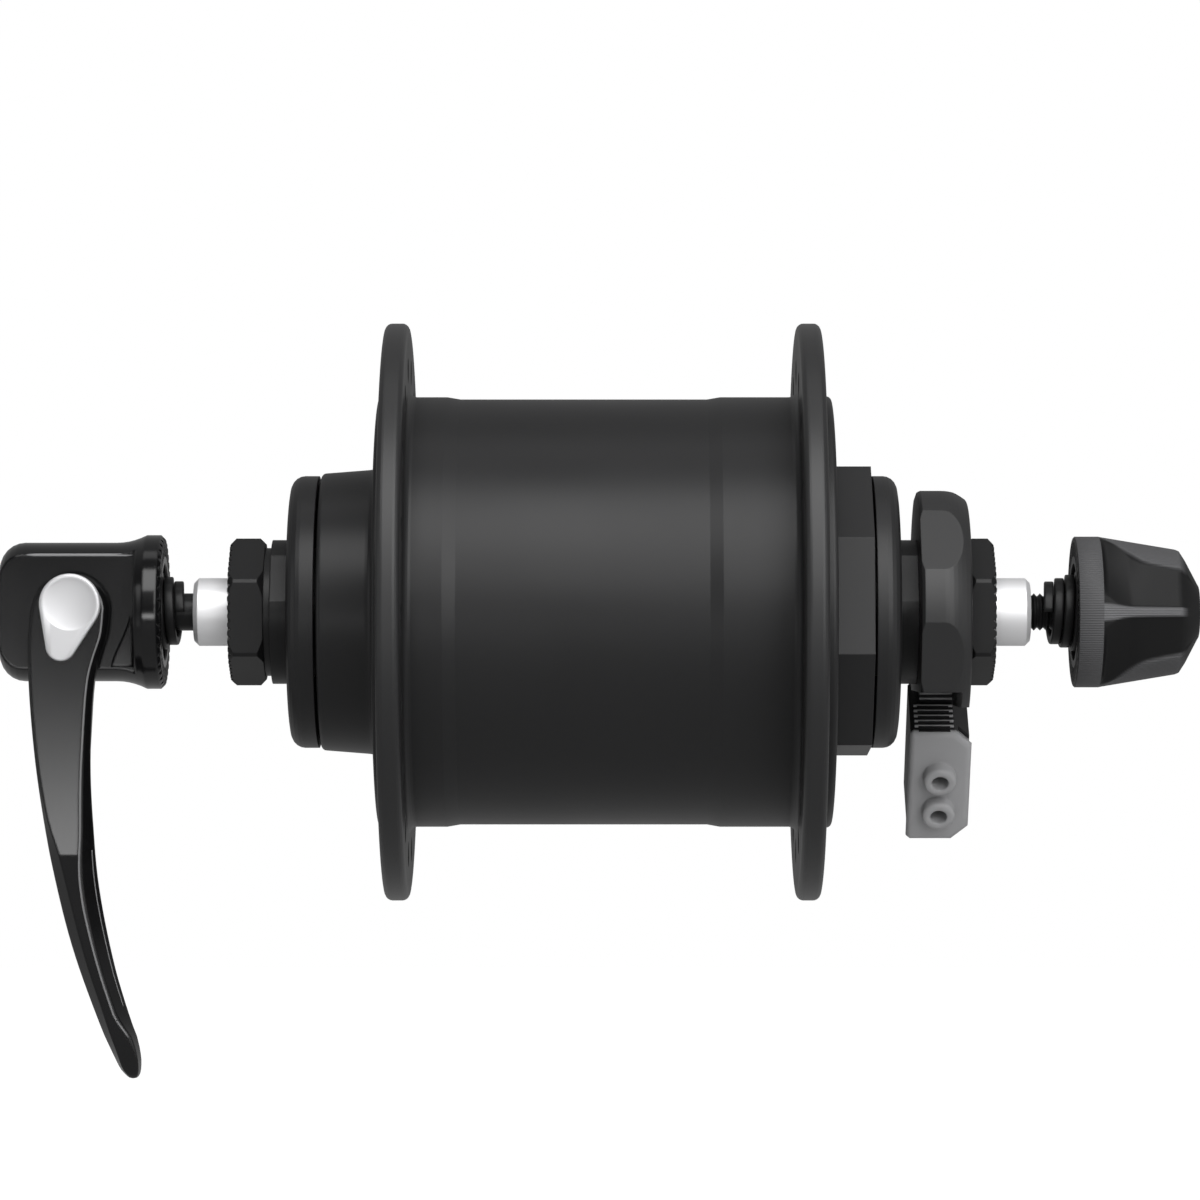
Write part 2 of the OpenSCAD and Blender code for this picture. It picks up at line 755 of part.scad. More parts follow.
module hub_shell() {
    flange_r = flange_d / 2;
    disc_r = disc_d / 2;
    boss_r = boss_d / 2;
    root_r = boss_root_d / 2;
    band_r = band_d / 2;
    barrel_r = barrel_d / 2;
    left_side = concat([[seal_r, boss_end]],
        arc(boss_r - edge_round, boss_end + edge_round, edge_round, -90, 0),
        arc(root_r + boss_fillet, left_disc_x - boss_fillet, boss_fillet, 180, 90),
        arc(disc_r - edge_round, left_disc_x + edge_round, edge_round, -90, 0),
        [[disc_r, left_flange_out]],
        arc(flange_r - flange_round, left_flange_out + flange_round, flange_round, -90, 0),
        arc(flange_r - flange_round, left_flange_in - flange_round, flange_round, 0, 90));
    barrel = concat(arc(band_r + root_fillet, left_flange_in + root_fillet, root_fillet, 270, 180),
        [[band_r, left_band_end], [barrel_r, left_band_end + band_slope],
            [barrel_r, right_band_end - band_slope], [band_r, right_band_end]],
        arc(band_r + root_fillet, right_flange_in - root_fillet, root_fillet, 180, 90));
    right_side = concat(
        arc(flange_r - flange_round, right_flange_in + flange_round, flange_round, -90, 0),
        arc(flange_r - flange_round, right_flange_out - flange_round, flange_round, 0, 90));
    inside = [[shell_bore_r, right_flange_out], [shell_bore_r, web_in], [shoulder_r, web_in],
        [shoulder_r, left_ball_x + cup_half], [cup_r, left_ball_x + cup_half],
        [cup_r, left_ball_x - cup_half], [seal_r, left_ball_x - cup_half]];
    color("#2b2b2b") difference() {
        turned(concat(left_side, barrel, right_side, inside));
        spoke_holes(left_flange_out, left_flange_in, spoke_circle_d, spoke_turn + 180 / spoke_count);
        spoke_holes(right_flange_in, right_flange_out, right_spoke_circle_d, spoke_turn);
    }
}

module right_end_cap() {
    disc_r = disc_d / 2;
    spigot_r = shell_bore_r - run_gap;
    spigot_end = right_flange_out - spigot_len;
    o_ring_x = right_flange_out - spigot_len / 2;
    web_x = right_ball_x - cup_half - 2.5;
    color("#2b2b2b") difference() {
        union() {
            turned(concat([[0, right_flange_out], [disc_r, right_flange_out]],
                arc(disc_r - edge_round, cap_disc_x - edge_round, edge_round, 0, 90),
                [[0, cap_disc_x]]));
            rod_x(spigot_end, right_flange_out, spigot_r);
            prism_x(right_flange_out, octagon_end, octagon_af, 8, octagon_turn);
        }
        rod_x(spigot_end - cut_over, octagon_end + cut_over, shoulder_r);
        rod_x(right_ball_x - cup_half, octagon_end + cut_over, cup_r);
        rod_x(right_ball_x + cup_half, octagon_end + cut_over, seal_r);
        rod_x(spigot_end - cut_over, web_x, spigot_r - 3);
        difference() {
            rod_x(o_ring_x - o_ring_d / 2 - run_gap, o_ring_x + o_ring_d / 2 + run_gap, spigot_r + cut_over);
            rod_x(spigot_end, right_flange_out, spigot_r - o_ring_d - run_gap);
        }
    }
}

module cap_o_ring() {
    color("#202020") rotate([0, 90, 0]) translate([0, 0, right_flange_out - spigot_len / 2])
        rotate_extrude() translate([shell_bore_r - run_gap - o_ring_d / 2, 0]) circle(r = o_ring_d / 2);
}

module rotor_yoke() {
    color("slategray") sleeve(flange_shift - magnet_len / 2, flange_shift + magnet_len / 2, magnet_r, yoke_r);
}

module rotor_magnets() {
    low = flange_shift - magnet_len / 2;
    high = flange_shift + magnet_len / 2;
    color("#3a3a40") difference() {
        sleeve(low, high, magnet_bore_r, magnet_r - fit_gap);
        for (turn = [45, 135])
            rotate([turn, 0, 0])
                block([low - cut_over, -magnet_slot / 2, -yoke_r],
                    [high + cut_over, magnet_slot / 2, yoke_r]);
    }
}

module bearing_cup() {
    rotate([0, 90, 0]) rotate_extrude() difference() {
        translate([cup_bore_r, -cup_half]) square([cup_r - fit_gap - cup_bore_r, 2 * cup_half]);
        translate([ball_circle_r, 0]) circle(r = ball_r + race_gap);
    }
}

module left_bearing_cup() {
    color("silver") at_end(left_ball_x, -1) bearing_cup();
}

module right_bearing_cup() {
    color("silver") at_end(right_ball_x, 1) bearing_cup();
}

module seal() {
    lip = 0.6;
    r_in = race_r + seal_room;
    r_out = seal_r - fit_gap;
    turned([[r_in, cup_half], [r_out, cup_half], [r_out, cup_half + seal_t],
        [r_in + lip, cup_half + seal_t], [r_in, cup_half + lip]]);
}

module left_seal() {
    color("#202020") at_end(left_ball_x, -1) seal();
}

module right_seal() {
    color("#202020") at_end(right_ball_x, 1) seal();
}

module ball_ring(r) {
    for (i = [0:ball_count - 1])
        rotate([i * 360 / ball_count, 0, 0]) translate([0, 0, ball_circle_r]) sphere(r = r);
}

module left_balls() {
    color("gainsboro") at_end(left_ball_x, -1) ball_ring(ball_r);
}

module right_balls() {
    color("gainsboro") at_end(right_ball_x, 1) ball_ring(ball_r);
}

module ball_cage() {
    difference() {
        sleeve(-ball_r - cage_gap - cage_web, -cage_cut, cage_r_in, cage_r_out);
        ball_ring(ball_r + cage_gap);
    }
}

module left_ball_cage() {
    color("darkgray") at_end(left_ball_x, -1) ball_cage();
}

module right_ball_cage() {
    color("darkgray") at_end(right_ball_x, 1) ball_cage();
}

// Quick release

module lever_housing() {
    flare_x = housing_face - flare_start;
    land_x = housing_face - flare_land;
    flare = [for (i = [0:5]) let (t = i / 5)
        [housing_r + (flare_r - housing_r) * t * t, flare_x + (land_x - flare_x) * t]];
    profile = concat([[0, housing_end], [housing_r - end_round, housing_end + dome_h]],
        arc(housing_r - end_round, housing_end + dome_h + end_round, end_round, -end_arc, 0),
        flare, [[flare_r, housing_face - face_chamfer], [flare_r - face_chamfer, housing_face],
            [0, housing_face]]);
    bore_r = head_r + head_gap;
    color("#1c1c1c") difference() {
        turned(profile);
        block([housing_end - cut_over, -housing_d, -housing_d],
            [housing_face - collar_len, -housing_flat, housing_d]);
        rod_x(pivot_x - head_left - 0.5, housing_face, bore_r);
        rod_x(housing_face - recess_depth, housing_face + cut_over, recess_r);
        translate([pivot_x, 0, 0]) rod_y(-housing_d, rear_journal + run_gap, cam_r + run_gap);
        face_teeth(housing_face, 1, face_tooth_count, face_tooth_r, flare_r, tooth_depth);
    }
}

// Conical spring as one tube: points along the wire, then a ring of points about each
function wire_point(t, turns, len) =
    let (r = (spring_large_d + (spring_small_d - spring_large_d) * t) / 2)
    [t * len, r * cos(360 * turns * t), r * sin(360 * turns * t)];
function unit(v) = v / norm(v);
function wire_ring(t, turns, len) =
    let (p = wire_point(t, turns, len),
        out = unit([0, p[1], p[2]]),
        along = unit(cross([1, 0, 0], out)),
        side = cross(out, along))
    [for (k = [0:spring_sides - 1]) let (a = 360 * k / spring_sides)
        p + spring_wire_d / 2 * (cos(a) * out + sin(a) * side)];

// Least distance between the wire's surface in one curl and in the next ones
function wire_gap(turns, len) =
    let (n = floor(turns * spring_rings))
    min([for (i = [0:n - spring_rings], j = [i + spring_rings - 2:min(n, i + spring_rings + 2)])
        norm(wire_point(i / n, turns, len) - wire_point(j / n, turns, len))]) - spring_wire_d;

module spring(turns, len) {
    n = floor(turns * spring_rings);
    points = [for (i = [0:n]) each wire_ring(i / n, turns, len)];
    last = n * spring_sides;
    sides = [for (i = [0:n - 1], k = [0:spring_sides - 1])
        let (a = i * spring_sides + k, b = i * spring_sides + (k + 1) % spring_sides)
        each [[a, b, b + spring_sides], [a, b + spring_sides, a + spring_sides]]];
    ends = [for (k = [1:spring_sides - 2]) each [[0, k + 1, k], [last, last + k, last + k + 1]]];
    polyhedron(points = points, faces = concat(sides, ends));
}

module left_spring() {
    color("#181818") translate([left_spring_x + spring_seat_gap + spring_wire_d / 2, 0, 0])
        spring(left_spring_turns, left_spring_len);
}

module right_spring() {
    color("#181818") translate([right_spring_x - spring_seat_gap - spring_wire_d / 2, 0, 0])
        mirror([1, 0, 0]) spring(right_spring_turns, right_spring_len);
}

echo(left_spring_gap = wire_gap(left_spring_turns, left_spring_len));
echo(right_spring_gap = wire_gap(right_spring_turns, right_spring_len));

// Lever: its outline at a distance s below the pivot
function ease(t) = let (c = min(1, max(0, t))) c * c * (3 - 2 * c);
function lever_outer(s) = lever_edge_r - sqrt(lever_edge_r * lever_edge_r - s * s)
    - lever_root_w * lever_share + 1.2 * pow(max(0, 1 - s / 9), 2);
function lever_width(s) = lever_root_w + (lever_tip_w - lever_root_w) * s / lever_len;
function lever_rear(s) = -lever_back + (paddle_depth - lever_t)
    * ease((s - lever_clear) / (paddle_start - lever_clear));
function lever_nose(s) = -lever_front + 0.8 * ease((s - nose_start) / (lever_len - nose_start));
function tip_share(s) = s < lever_len - tip_round ? 1
    : sqrt(max(0.04, 1 - pow((s - lever_len + tip_round) / tip_round, 2)));
function lever_section(s, n = 16) =
    let (share = tip_share(s),
        half_x = lever_width(s) / 2 * share,
        mid_x = lever_outer(s) + lever_width(s) / 2,
        half_y = (lever_rear(s) - lever_nose(s)) / 2 * (0.7 + 0.3 * share),
        mid_y = (lever_rear(s) + lever_nose(s)) / 2,
        power = 0.28 + 0.5 * ease((s - 8) / 40))
    [for (k = [0:n - 1]) let (a = 360 * (k + 0.5) / n)
        [mid_x + half_x * sign(cos(a)) * pow(abs(cos(a)), power),
            mid_y + half_y * sign(sin(a)) * pow(abs(sin(a)), power), -s]];

module lever() {
    n = 16;
    stations = concat([for (i = [0:11]) i * (lever_len - tip_round) / 11],
        [lever_len - tip_round * 0.5, lever_len - tip_round * 0.2, lever_len]);
    count = len(stations);
    points = [for (s = stations) each lever_section(s, n)];
    last = (count - 1) * n;
    sides = [for (i = [0:count - 2], k = [0:n - 1])
        let (a = i * n + k, b = i * n + (k + 1) % n)
        each [[a, b + n, a + n], [a, b, b + n]]];
    ends = [for (k = [1:n - 2]) each [[0, k + 1, k], [last, last + k, last + k + 1]]];
    color("#1c1c1c") translate([pivot_x, 0, 0]) difference() {
        union() {
            polyhedron(points = points, faces = concat(sides, ends));
            rod_y(-lever_front, -lever_back, lever_eye_d / 2);
        }
        rod_y(-lever_front - cut_over, 0, cam_r + fit_gap);
    }
}

// Drop outline: two circles and their common tangents
module drop(big_r, small_r, offset_to) {
    d = norm(offset_to);
    lean = acos((big_r - small_r) / d);
    turn = atan2(offset_to[1], offset_to[0]);
    up = [cos(turn + lean), sin(turn + lean)];
    down = [cos(turn - lean), sin(turn - lean)];
    circle(r = big_r);
    translate(offset_to) circle(r = small_r);
    polygon([big_r * up, offset_to + small_r * up, offset_to + small_r * down, big_r * down]);
}

module cam_shaft() {
    dimple_ball_r = (dimple_r * dimple_r + dimple_depth * dimple_depth) / (2 * dimple_depth);
    face = lever_front + head_t;
    color("gainsboro") translate([pivot_x, 0, 0]) union() {
        difference() {
            translate([0, -lever_front, head_lift]) rotate([90, 0, 0]) linear_extrude(height = head_t)
                drop(head_big_r, head_small_r, head_drop);
            translate([0, -face - dimple_ball_r + dimple_depth, head_lift]) sphere(r = dimple_ball_r);
        }
        rod_y(-lever_front, -eccentric_half, cam_r);
        translate([-cam_offset, 0, 0]) rod_y(-eccentric_half, eccentric_half, eccentric_r);
        rod_y(eccentric_half, rear_journal, cam_r);
    }
}

module skewer_rod() {
    half_x = eccentric_r + eye_gap;
    half_z = eccentric_r + cam_offset + eye_gap;
    turns = floor((rod_end - rod_thread_start - 1.2 * thread_depth) / thread_pitch);
    thread = [for (i = [0:turns - 1]) let (x = rod_thread_start + i * thread_pitch)
        each [[rod_r, x], [rod_r - thread_depth, x + thread_pitch / 2]]];
    thread_end = rod_thread_start + turns * thread_pitch;
    color("#262626") difference() {
        union() {
            rod_x(pivot_x - head_left, pivot_x + head_right, head_r);
            turned(concat([[0, pivot_x + head_right - 1], [rod_r, pivot_x + head_right - 1]], thread,
                [[rod_r, thread_end], [rod_r, rod_end - thread_depth], [rod_r - thread_depth, rod_end],
                    [0, rod_end]]));
        }
        block([pivot_x - cam_offset - half_x, -head_r - cut_over, -half_z],
            [pivot_x - cam_offset + half_x, head_r + cut_over, half_z]);
    }
}

// Adjusting nut: a flat along the tapered grip, at a turn from the top
module grip_flat(turn) {
    fall = (knob_r - knob_end_r) / (knob_grip_end - knob_collar_end);
    near = knob_collar_end + flat_step;
    far = knob_end + cut_over;
    start = knob_r - scoop_depth;
    rotate([turn, 0, 0]) translate([0, knob_r, 0]) rotate([90, 0, 0]) linear_extrude(height = knob_d)
        polygon([[near, start], [far, start - fall * (far - near)], [far, knob_d], [near, knob_d]]);
}

module adjusting_nut() {
    insert_tube_r = recess_r + insert_wall;
    color("#2a2a2a") difference() {
        turned([[0, knob_face], [knob_r, knob_face], [knob_r, knob_collar_end], [knob_end_r, knob_grip_end],
            [knob_tip_r + 0.4, knob_end - 0.2], [knob_tip_r, knob_end], [0, knob_end]]);
        for (front = [90, 270], side = [-1, 1])
            grip_flat(front + side * flat_turn);
        rod_x(knob_face - cut_over, knob_face + insert_flange_t + fit_gap, insert_r + fit_gap);
        rod_x(knob_face, knob_face + insert_len + fit_gap, insert_tube_r + fit_gap);
        rod_x(knob_face, rod_end + 2, rod_r + run_gap);
    }
}

module nut_insert() {
    insert_tube_r = recess_r + insert_wall;
    color("#3c3c3c") difference() {
        union() {
            rod_x(knob_face, knob_face + insert_flange_t, insert_r);
            rod_x(knob_face, knob_face + insert_len, insert_tube_r);
        }
        rod_x(knob_face - cut_over, knob_face + recess_depth, recess_r);
        rod_x(knob_face, knob_face + insert_len + cut_over, rod_r + run_gap);
        face_teeth(knob_face, -1, face_tooth_count, face_tooth_r, insert_r, tooth_depth);
    }
}

// Connector: outline seen from the front, as place along the axle and depth
connector_outline = [[connector_left + connector_edge, -connector_top],
    [connector_right - connector_cut, -connector_top],
    [connector_right, -connector_top - connector_cut],
    [connector_right, -connector_end + connector_cut],
    [connector_right - connector_cut, -connector_end],
    [connector_left + connector_edge, -connector_end],
    [connector_left, -connector_end + connector_edge],
    [connector_left, -connector_top - connector_edge]];

// The outline as a slab between two distances behind the axle plane
module connector_slab(back_from, back_to) {
    translate([0, back_to, 0]) rotate([90, 0, 0]) linear_extrude(height = back_to - back_from)
        polygon(connector_outline);
}

// Everything in front of the axle plane that lies above a given depth
module roof_space(depth) {
    block([connector_left - cut_over, -connector_front - cut_over, -depth],
        [connector_right + cut_over, 0, -connector_top + cut_over]);
}

module wire_bores(back_to) {
    for (i = [0, 1])
        translate([connector_mid, 0, -first_wire - i * wire_pitch])
            rod_y(-connector_front - wire_boss_len - cut_over, back_to, wire_bore_d / 2);
}

module connector_cover() {
    color("#1e1e1e") in_connector_frame() difference() {
        union() {
            connector_slab(-cap_seam, connector_back);
            intersection() {
                connector_slab(-connector_front, 0);
                roof_space(connector_top + roof_t);
            }
            for (i = [0:ribs - 1])
                translate([0, -connector_front + rib_inset + i * rib_pitch, 0])
                    block([connector_left + 2 * connector_edge, 0, -connector_top - 0.2],
                        [connector_right - connector_cut - connector_edge, rib_w, -connector_top + rib_h]);
        }
        block([connector_mid - tongue_w / 2 - plug_gap, socket_front, -tongue_end - plug_gap],
            [connector_mid + tongue_w / 2 + plug_gap, tongue_back + plug_gap, -connector_top + cut_over]);
        wire_bores(-cap_seam + wire_depth);
    }
}

module connector_cap() {
    color("gray") in_connector_frame() difference() {
        union() {
            connector_slab(-connector_front, -cap_seam);
            for (i = [0, 1])
                translate([connector_mid, 0, -first_wire - i * wire_pitch])
                    rod_y(-connector_front - wire_boss_len, -connector_front + cut_over, wire_boss_d / 2);
        }
        wire_bores(0);
        roof_space(connector_top + roof_t + fit_gap);
    }
}

axle();
left_cone();
right_cone();
left_washer();
left_lock_nut();
right_lock_nut();
left_dust_cover();
right_dust_cover();
stator_core();
left_claw_pole();
right_claw_pole();
coil_bobbin();
coil_winding();
left_stator_nut();
right_stator_nut();
coil_lead();
terminal_ring();
terminal_contacts();
hub_shell();
right_end_cap();
cap_o_ring();
rotor_yoke();
rotor_magnets();
left_bearing_cup();
right_bearing_cup();
left_seal();
right_seal();
left_balls();
left_ball_cage();
right_balls();
right_ball_cage();
lever_housing();
left_spring();
lever();
cam_shaft();
skewer_rod();
right_spring();
adjusting_nut();
nut_insert();
connector_cover();
connector_cap();
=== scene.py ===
"""Finishes, detailed pieces and a small studio for a bicycle hub dynamo."""
import json
import math

import bmesh
import bpy
from mathutils import Matrix, Vector


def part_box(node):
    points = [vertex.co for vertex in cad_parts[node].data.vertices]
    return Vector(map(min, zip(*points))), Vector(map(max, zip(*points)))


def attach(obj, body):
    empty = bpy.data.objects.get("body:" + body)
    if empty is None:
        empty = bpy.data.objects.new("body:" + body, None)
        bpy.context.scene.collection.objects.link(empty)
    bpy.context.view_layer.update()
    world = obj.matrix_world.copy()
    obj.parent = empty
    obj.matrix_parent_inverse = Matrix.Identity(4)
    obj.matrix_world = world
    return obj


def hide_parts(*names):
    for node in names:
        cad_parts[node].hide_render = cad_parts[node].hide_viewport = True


bl_info = {
    "name": "Hub Dynamo Dressing",
    "version": (1, 0, 0),
    "blender": (4, 5, 0),
    "location": "View3D > Sidebar > Hub Dynamo",
    "description": "Dresses a front hub generator and its quick release with finishes and fine pieces",
    "category": "Object",
}

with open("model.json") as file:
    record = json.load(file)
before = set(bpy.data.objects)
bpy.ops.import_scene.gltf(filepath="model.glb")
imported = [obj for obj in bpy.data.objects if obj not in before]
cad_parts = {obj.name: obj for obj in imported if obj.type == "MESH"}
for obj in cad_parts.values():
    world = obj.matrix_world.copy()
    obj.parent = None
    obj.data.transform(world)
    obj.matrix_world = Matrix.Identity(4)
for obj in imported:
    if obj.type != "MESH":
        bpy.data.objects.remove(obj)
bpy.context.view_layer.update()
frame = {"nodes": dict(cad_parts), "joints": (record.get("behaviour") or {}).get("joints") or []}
NODES = frame["nodes"]
JOINTS = {joint["name"]: joint for joint in frame["joints"]}
MM = 0.001
PIVOT_X = JOINTS["lever_swing"]["pos_m"][0]
LEVER_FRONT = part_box("lever")[0][1]

# Lever, in millimetres: distance below the pivot, then the value there
LEVER_LEFT = ((0, -5.15), (3.6, -5.5), (9.2, -5.4), (16, -4.9), (24.6, -3.9), (33.4, -2.45), (43.9, 0.05),
              (54.3, 3.6), (58.3, 5.35), (59.8, 6.1), (60.5, 6.7), (60.95, 7.25), (61, 7.6))
LEVER_RIGHT = ((0, 5.0), (3, 4.7), (6, 3.75), (8.8, 3.1), (14, 2.7), (21.2, 2.55), (28, 2.85), (36.1, 3.55),
               (46, 5.4), (53.3, 7.45), (55.7, 8.3), (58.3, 8.76), (59.8, 8.75), (60.5, 8.6), (60.95, 8.25),
               (61, 7.9))
LEFT_BEVEL = ((0, 0.25), (18, 0.35), (26, 0.55), (29, 0.9), (32, 1.4), (45, 1.5), (56, 1.0), (61, 0.3))
RIGHT_BEVEL = ((0, 0.9), (10, 1.0), (18, 1.15), (28, 1.65), (35, 2.3), (45, 2.3), (52, 2.05), (56, 0.9),
               (61, 0.3))
# Its eye, where it folds, where the paddle rises and the tip starts, and steps along the thin painted
# highlight lines
EYE_R = 5.06
FOLD = 31.5
PADDLE_RISE = (13.2, 25.0)
TIP_START = 57.5
TIP_LENGTH = 3.6
LINE_STEPS = 80
# Adjusting nut, in millimetres along the axle, then radius, half the rib's width, pad start in degrees
NUT_PROFILE = ((60.6, 9.75), (60.75, 9.9), (63.8, 9.9), (64.3, 9.8), (73.9, 8.2), (74.35, 8.0), (74.7, 7.6),
               (76.75, 3.75), (76.95, 3.4), (77, 3.0))
RIB_HALF = ((63.8, 0.95), (65, 0.85), (66.5, 0.62), (68.3, 0.5), (74.5, 0.45))
PAD_START = ((63.8, 82), (64.4, 78), (66.1, 66), (68.9, 51), (71.5, 47), (74.6, 45))
# Ends of its collar and of itself, steps round it, and where scoops, rib and grip lines rise or fade
COLLAR_END = 63.82
NUT_END = 77.0
NUT_STEPS = 288
SCOOP_RISE = (63.8, 64.3)
SCOOP_FADE = (74.6, 76.2)
RIB_FADE = (74.2, 74.5)
GRIP_FADE = (74.2, 74.6)
# Cam head, housing and springs: lengths in millimetres, steps and points as counts
HEAD_RISE = 1.0
HEAD_STEPS = 96
DIMPLE_R = 3.36
FLAT_EDGE = (-5.2, 7.47)
SPRING_WIDE = 5.4
SPRING_TAPER = 2.0
SPRING_STEPS = 40
WIRE_POINTS = 12
WIRE_POWER = 0.3
# Connector cap, in millimetres in its own upright frame: middle of the wire bosses, and their levels
BOSS_X = 43.55
BOSS_LEVELS = (-23.0, -28.75)
# Points round bosses and journals, and the radii in metres between which the flange rims change
ROUND_STEPS = 48
RIM_RADII = (0.0355, 0.037)


class StageSettings(bpy.types.PropertyGroup):
    """Camera, lamps and floor."""

    camera_distance: bpy.props.FloatProperty(
        name="Camera distance", description="From the axle to the lens", default=0.74, unit="LENGTH")
    lens: bpy.props.FloatProperty(name="Lens", description="Focal length in millimetres", default=169.0)
    floor_level: bpy.props.FloatProperty(
        name="Floor level", description="Height of the floor", default=-0.3, unit="LENGTH")
    key_power: bpy.props.FloatProperty(
        name="Key lamp", description="Power of the high front lamp", default=11.0, unit="POWER")
    side_power: bpy.props.FloatProperty(
        name="Side lamps", description="Power of each side strip", default=1.5, unit="POWER")
    front_power: bpy.props.FloatProperty(
        name="Front lamp", description="Power of the soft lamp above the camera", default=6.0, unit="POWER")
    lever_power: bpy.props.FloatProperty(
        name="Lever lamp", description="Power of the lamp that the lever mirrors", default=0.55, unit="POWER")
    low_power: bpy.props.FloatProperty(
        name="Low lamp", description="Power of the lamp low on the right", default=1.5, unit="POWER")
    top_power: bpy.props.FloatProperty(
        name="Top lamp", description="Power of the lamp overhead", default=1.0, unit="POWER")
    fill: bpy.props.FloatProperty(name="Fill", description="Strength of the room light", default=0.3)


class FinishSettings(bpy.types.PropertyGroup):
    """Colours of the finishes."""

    shell_black: bpy.props.FloatVectorProperty(
        name="Hub paint", description="Satin paint of the hub", subtype="COLOR",
        default=(0.011, 0.011, 0.0115))
    gloss_black: bpy.props.FloatVectorProperty(
        name="Gloss paint", description="Paint of lever and housing", subtype="COLOR",
        default=(0.004, 0.004, 0.0043))
    steel_black: bpy.props.FloatVectorProperty(
        name="Black steel", description="Oxide of nuts and cones", subtype="COLOR",
        default=(0.006, 0.006, 0.0063))
    bright_steel: bpy.props.FloatVectorProperty(
        name="Bright steel", description="Axle stubs", subtype="COLOR",
        default=(0.74, 0.74, 0.75))
    cam_silver: bpy.props.FloatVectorProperty(
        name="Cam silver", description="Plating of the cam head", subtype="COLOR",
        default=(0.56, 0.56, 0.57))
    plastic_black: bpy.props.FloatVectorProperty(
        name="Black plastic", description="Terminal ring and nut", subtype="COLOR",
        default=(0.014, 0.014, 0.0145))
    cap_grey: bpy.props.FloatVectorProperty(
        name="Grey plastic", description="Connector cap", subtype="COLOR",
        default=(0.27, 0.27, 0.275))


class PieceSettings(bpy.types.PropertyGroup):
    """Sizes of the detailed pieces."""

    spring_wire: bpy.props.FloatProperty(
        name="Spring wire", description="Thickness of the spring wire", unit="LENGTH",
        default=0.00102)
    lever_edge: bpy.props.FloatProperty(
        name="Lever edge", description="Rounding along the edges of the lever", unit="LENGTH",
        default=0.00015)
    head_rim: bpy.props.FloatProperty(
        name="Cam head rim", description="Slope round the bright cam head", unit="LENGTH",
        default=0.00028)
    cap_round: bpy.props.FloatProperty(
        name="Cap rounding", description="Rounding round the front of the connector cap", unit="LENGTH",
        default=0.0008)
    scoop_step: bpy.props.FloatProperty(
        name="Scoop step", description="Depth of the nut's scoops beside its rib and pads", unit="LENGTH",
        default=0.0003)


def own_group(name, inputs, outputs):
    """A new shader node group with its sockets, and its two end nodes."""
    group = bpy.data.node_groups.new(name, "ShaderNodeTree")
    for label, value in inputs:
        socket = group.interface.new_socket(name=label, in_out="INPUT", socket_type="NodeSocketFloat")
        socket.default_value = value
    for label in outputs:
        group.interface.new_socket(name=label, in_out="OUTPUT", socket_type="NodeSocketFloat")
    return group, group.nodes.new("NodeGroupInput"), group.nodes.new("NodeGroupOutput")


def math_node(tree, kind, first, second=None):
    """A Math node whose operands are sockets or numbers."""
    node = tree.nodes.new("ShaderNodeMath")
    node.operation = kind
    for index, value in enumerate((first, second)):
        if value is None:
            continue
        if isinstance(value, (int, float)):
            node.inputs[index].default_value = value
        else:
            tree.links.new(value, node.inputs[index])
    return node.outputs[0]


def object_axes(tree):
    """Object coordinates, whole and as X, Y and Z."""
    place = tree.nodes.new("ShaderNodeTexCoord")
    split = tree.nodes.new("ShaderNodeSeparateXYZ")
    tree.links.new(place.outputs["Object"], split.inputs[0])
    return place.outputs["Object"], split.outputs


def cloud(tree, vector, scale, detail=3.0):
    """A soft noise over the surface."""
    noise = tree.nodes.new("ShaderNodeTexNoise")
    noise.inputs["Scale"].default_value = scale
    noise.inputs["Detail"].default_value = detail
    tree.links.new(vector, noise.inputs["Vector"])
    return noise


def turned_lines_group():
    """Fine rings from a lathe, along the axle, and a slow tone."""
    group, ends, out = own_group("Turned lines", [("Rings per metre", 4000.0)], ["Height", "Tone"])
    vector, axes = object_axes(group)
    rings = group.nodes.new("ShaderNodeTexNoise")
    rings.noise_dimensions = "1D"
    rings.inputs["Detail"].default_value = 3.0
    rings.inputs["Scale"].default_value = 1.0
    group.links.new(math_node(group, "MULTIPLY", axes[0], ends.outputs[0]), rings.inputs["W"])
    group.links.new(rings.outputs["Fac"], out.inputs["Height"])
    group.links.new(cloud(group, vector, 60.0, 4.0).outputs["Fac"], out.inputs["Tone"])
    return group


def moulded_grain_group():
    """Fine spark grain of moulded or painted surfaces, and a slow tone."""
    group, ends, out = own_group("Moulded grain", [("Grain scale", 2500.0)], ["Height", "Tone"])
    vector, _ = object_axes(group)
    grain = cloud(group, vector, 1.0, 2.0)
    group.links.new(ends.outputs[0], grain.inputs["Scale"])
    group.links.new(grain.outputs["Fac"], out.inputs["Height"])
    group.links.new(cloud(group, vector, 45.0).outputs["Fac"], out.inputs["Tone"])
    return group


def grip_lines_group():
    """Fine lines along the axle, set round it at even angles."""
    group, ends, out = own_group("Grip lines", [("Lines round", 150.0)], ["Height", "Tone"])
    vector, axes = object_axes(group)
    angle = math_node(group, "ARCTAN2", axes[2], axes[1])
    wave = math_node(group, "SINE", math_node(group, "MULTIPLY", angle, ends.outputs[0]))
    ragged = math_node(group, "MULTIPLY", cloud(group, vector, 900.0, 2.0).outputs["Fac"], 0.5)
    group.links.new(math_node(group, "ADD", wave, ragged), out.inputs["Height"])
    group.links.new(cloud(group, vector, 45.0).outputs["Fac"], out.inputs["Tone"])
    return group


def blank_material(name):
    """A material with only a Principled shader, ready for its detail."""
    material = bpy.data.materials.new(name)
    material.use_nodes = True
    shader = material.node_tree.nodes["Principled BSDF"]
    return material, material.node_tree, shader


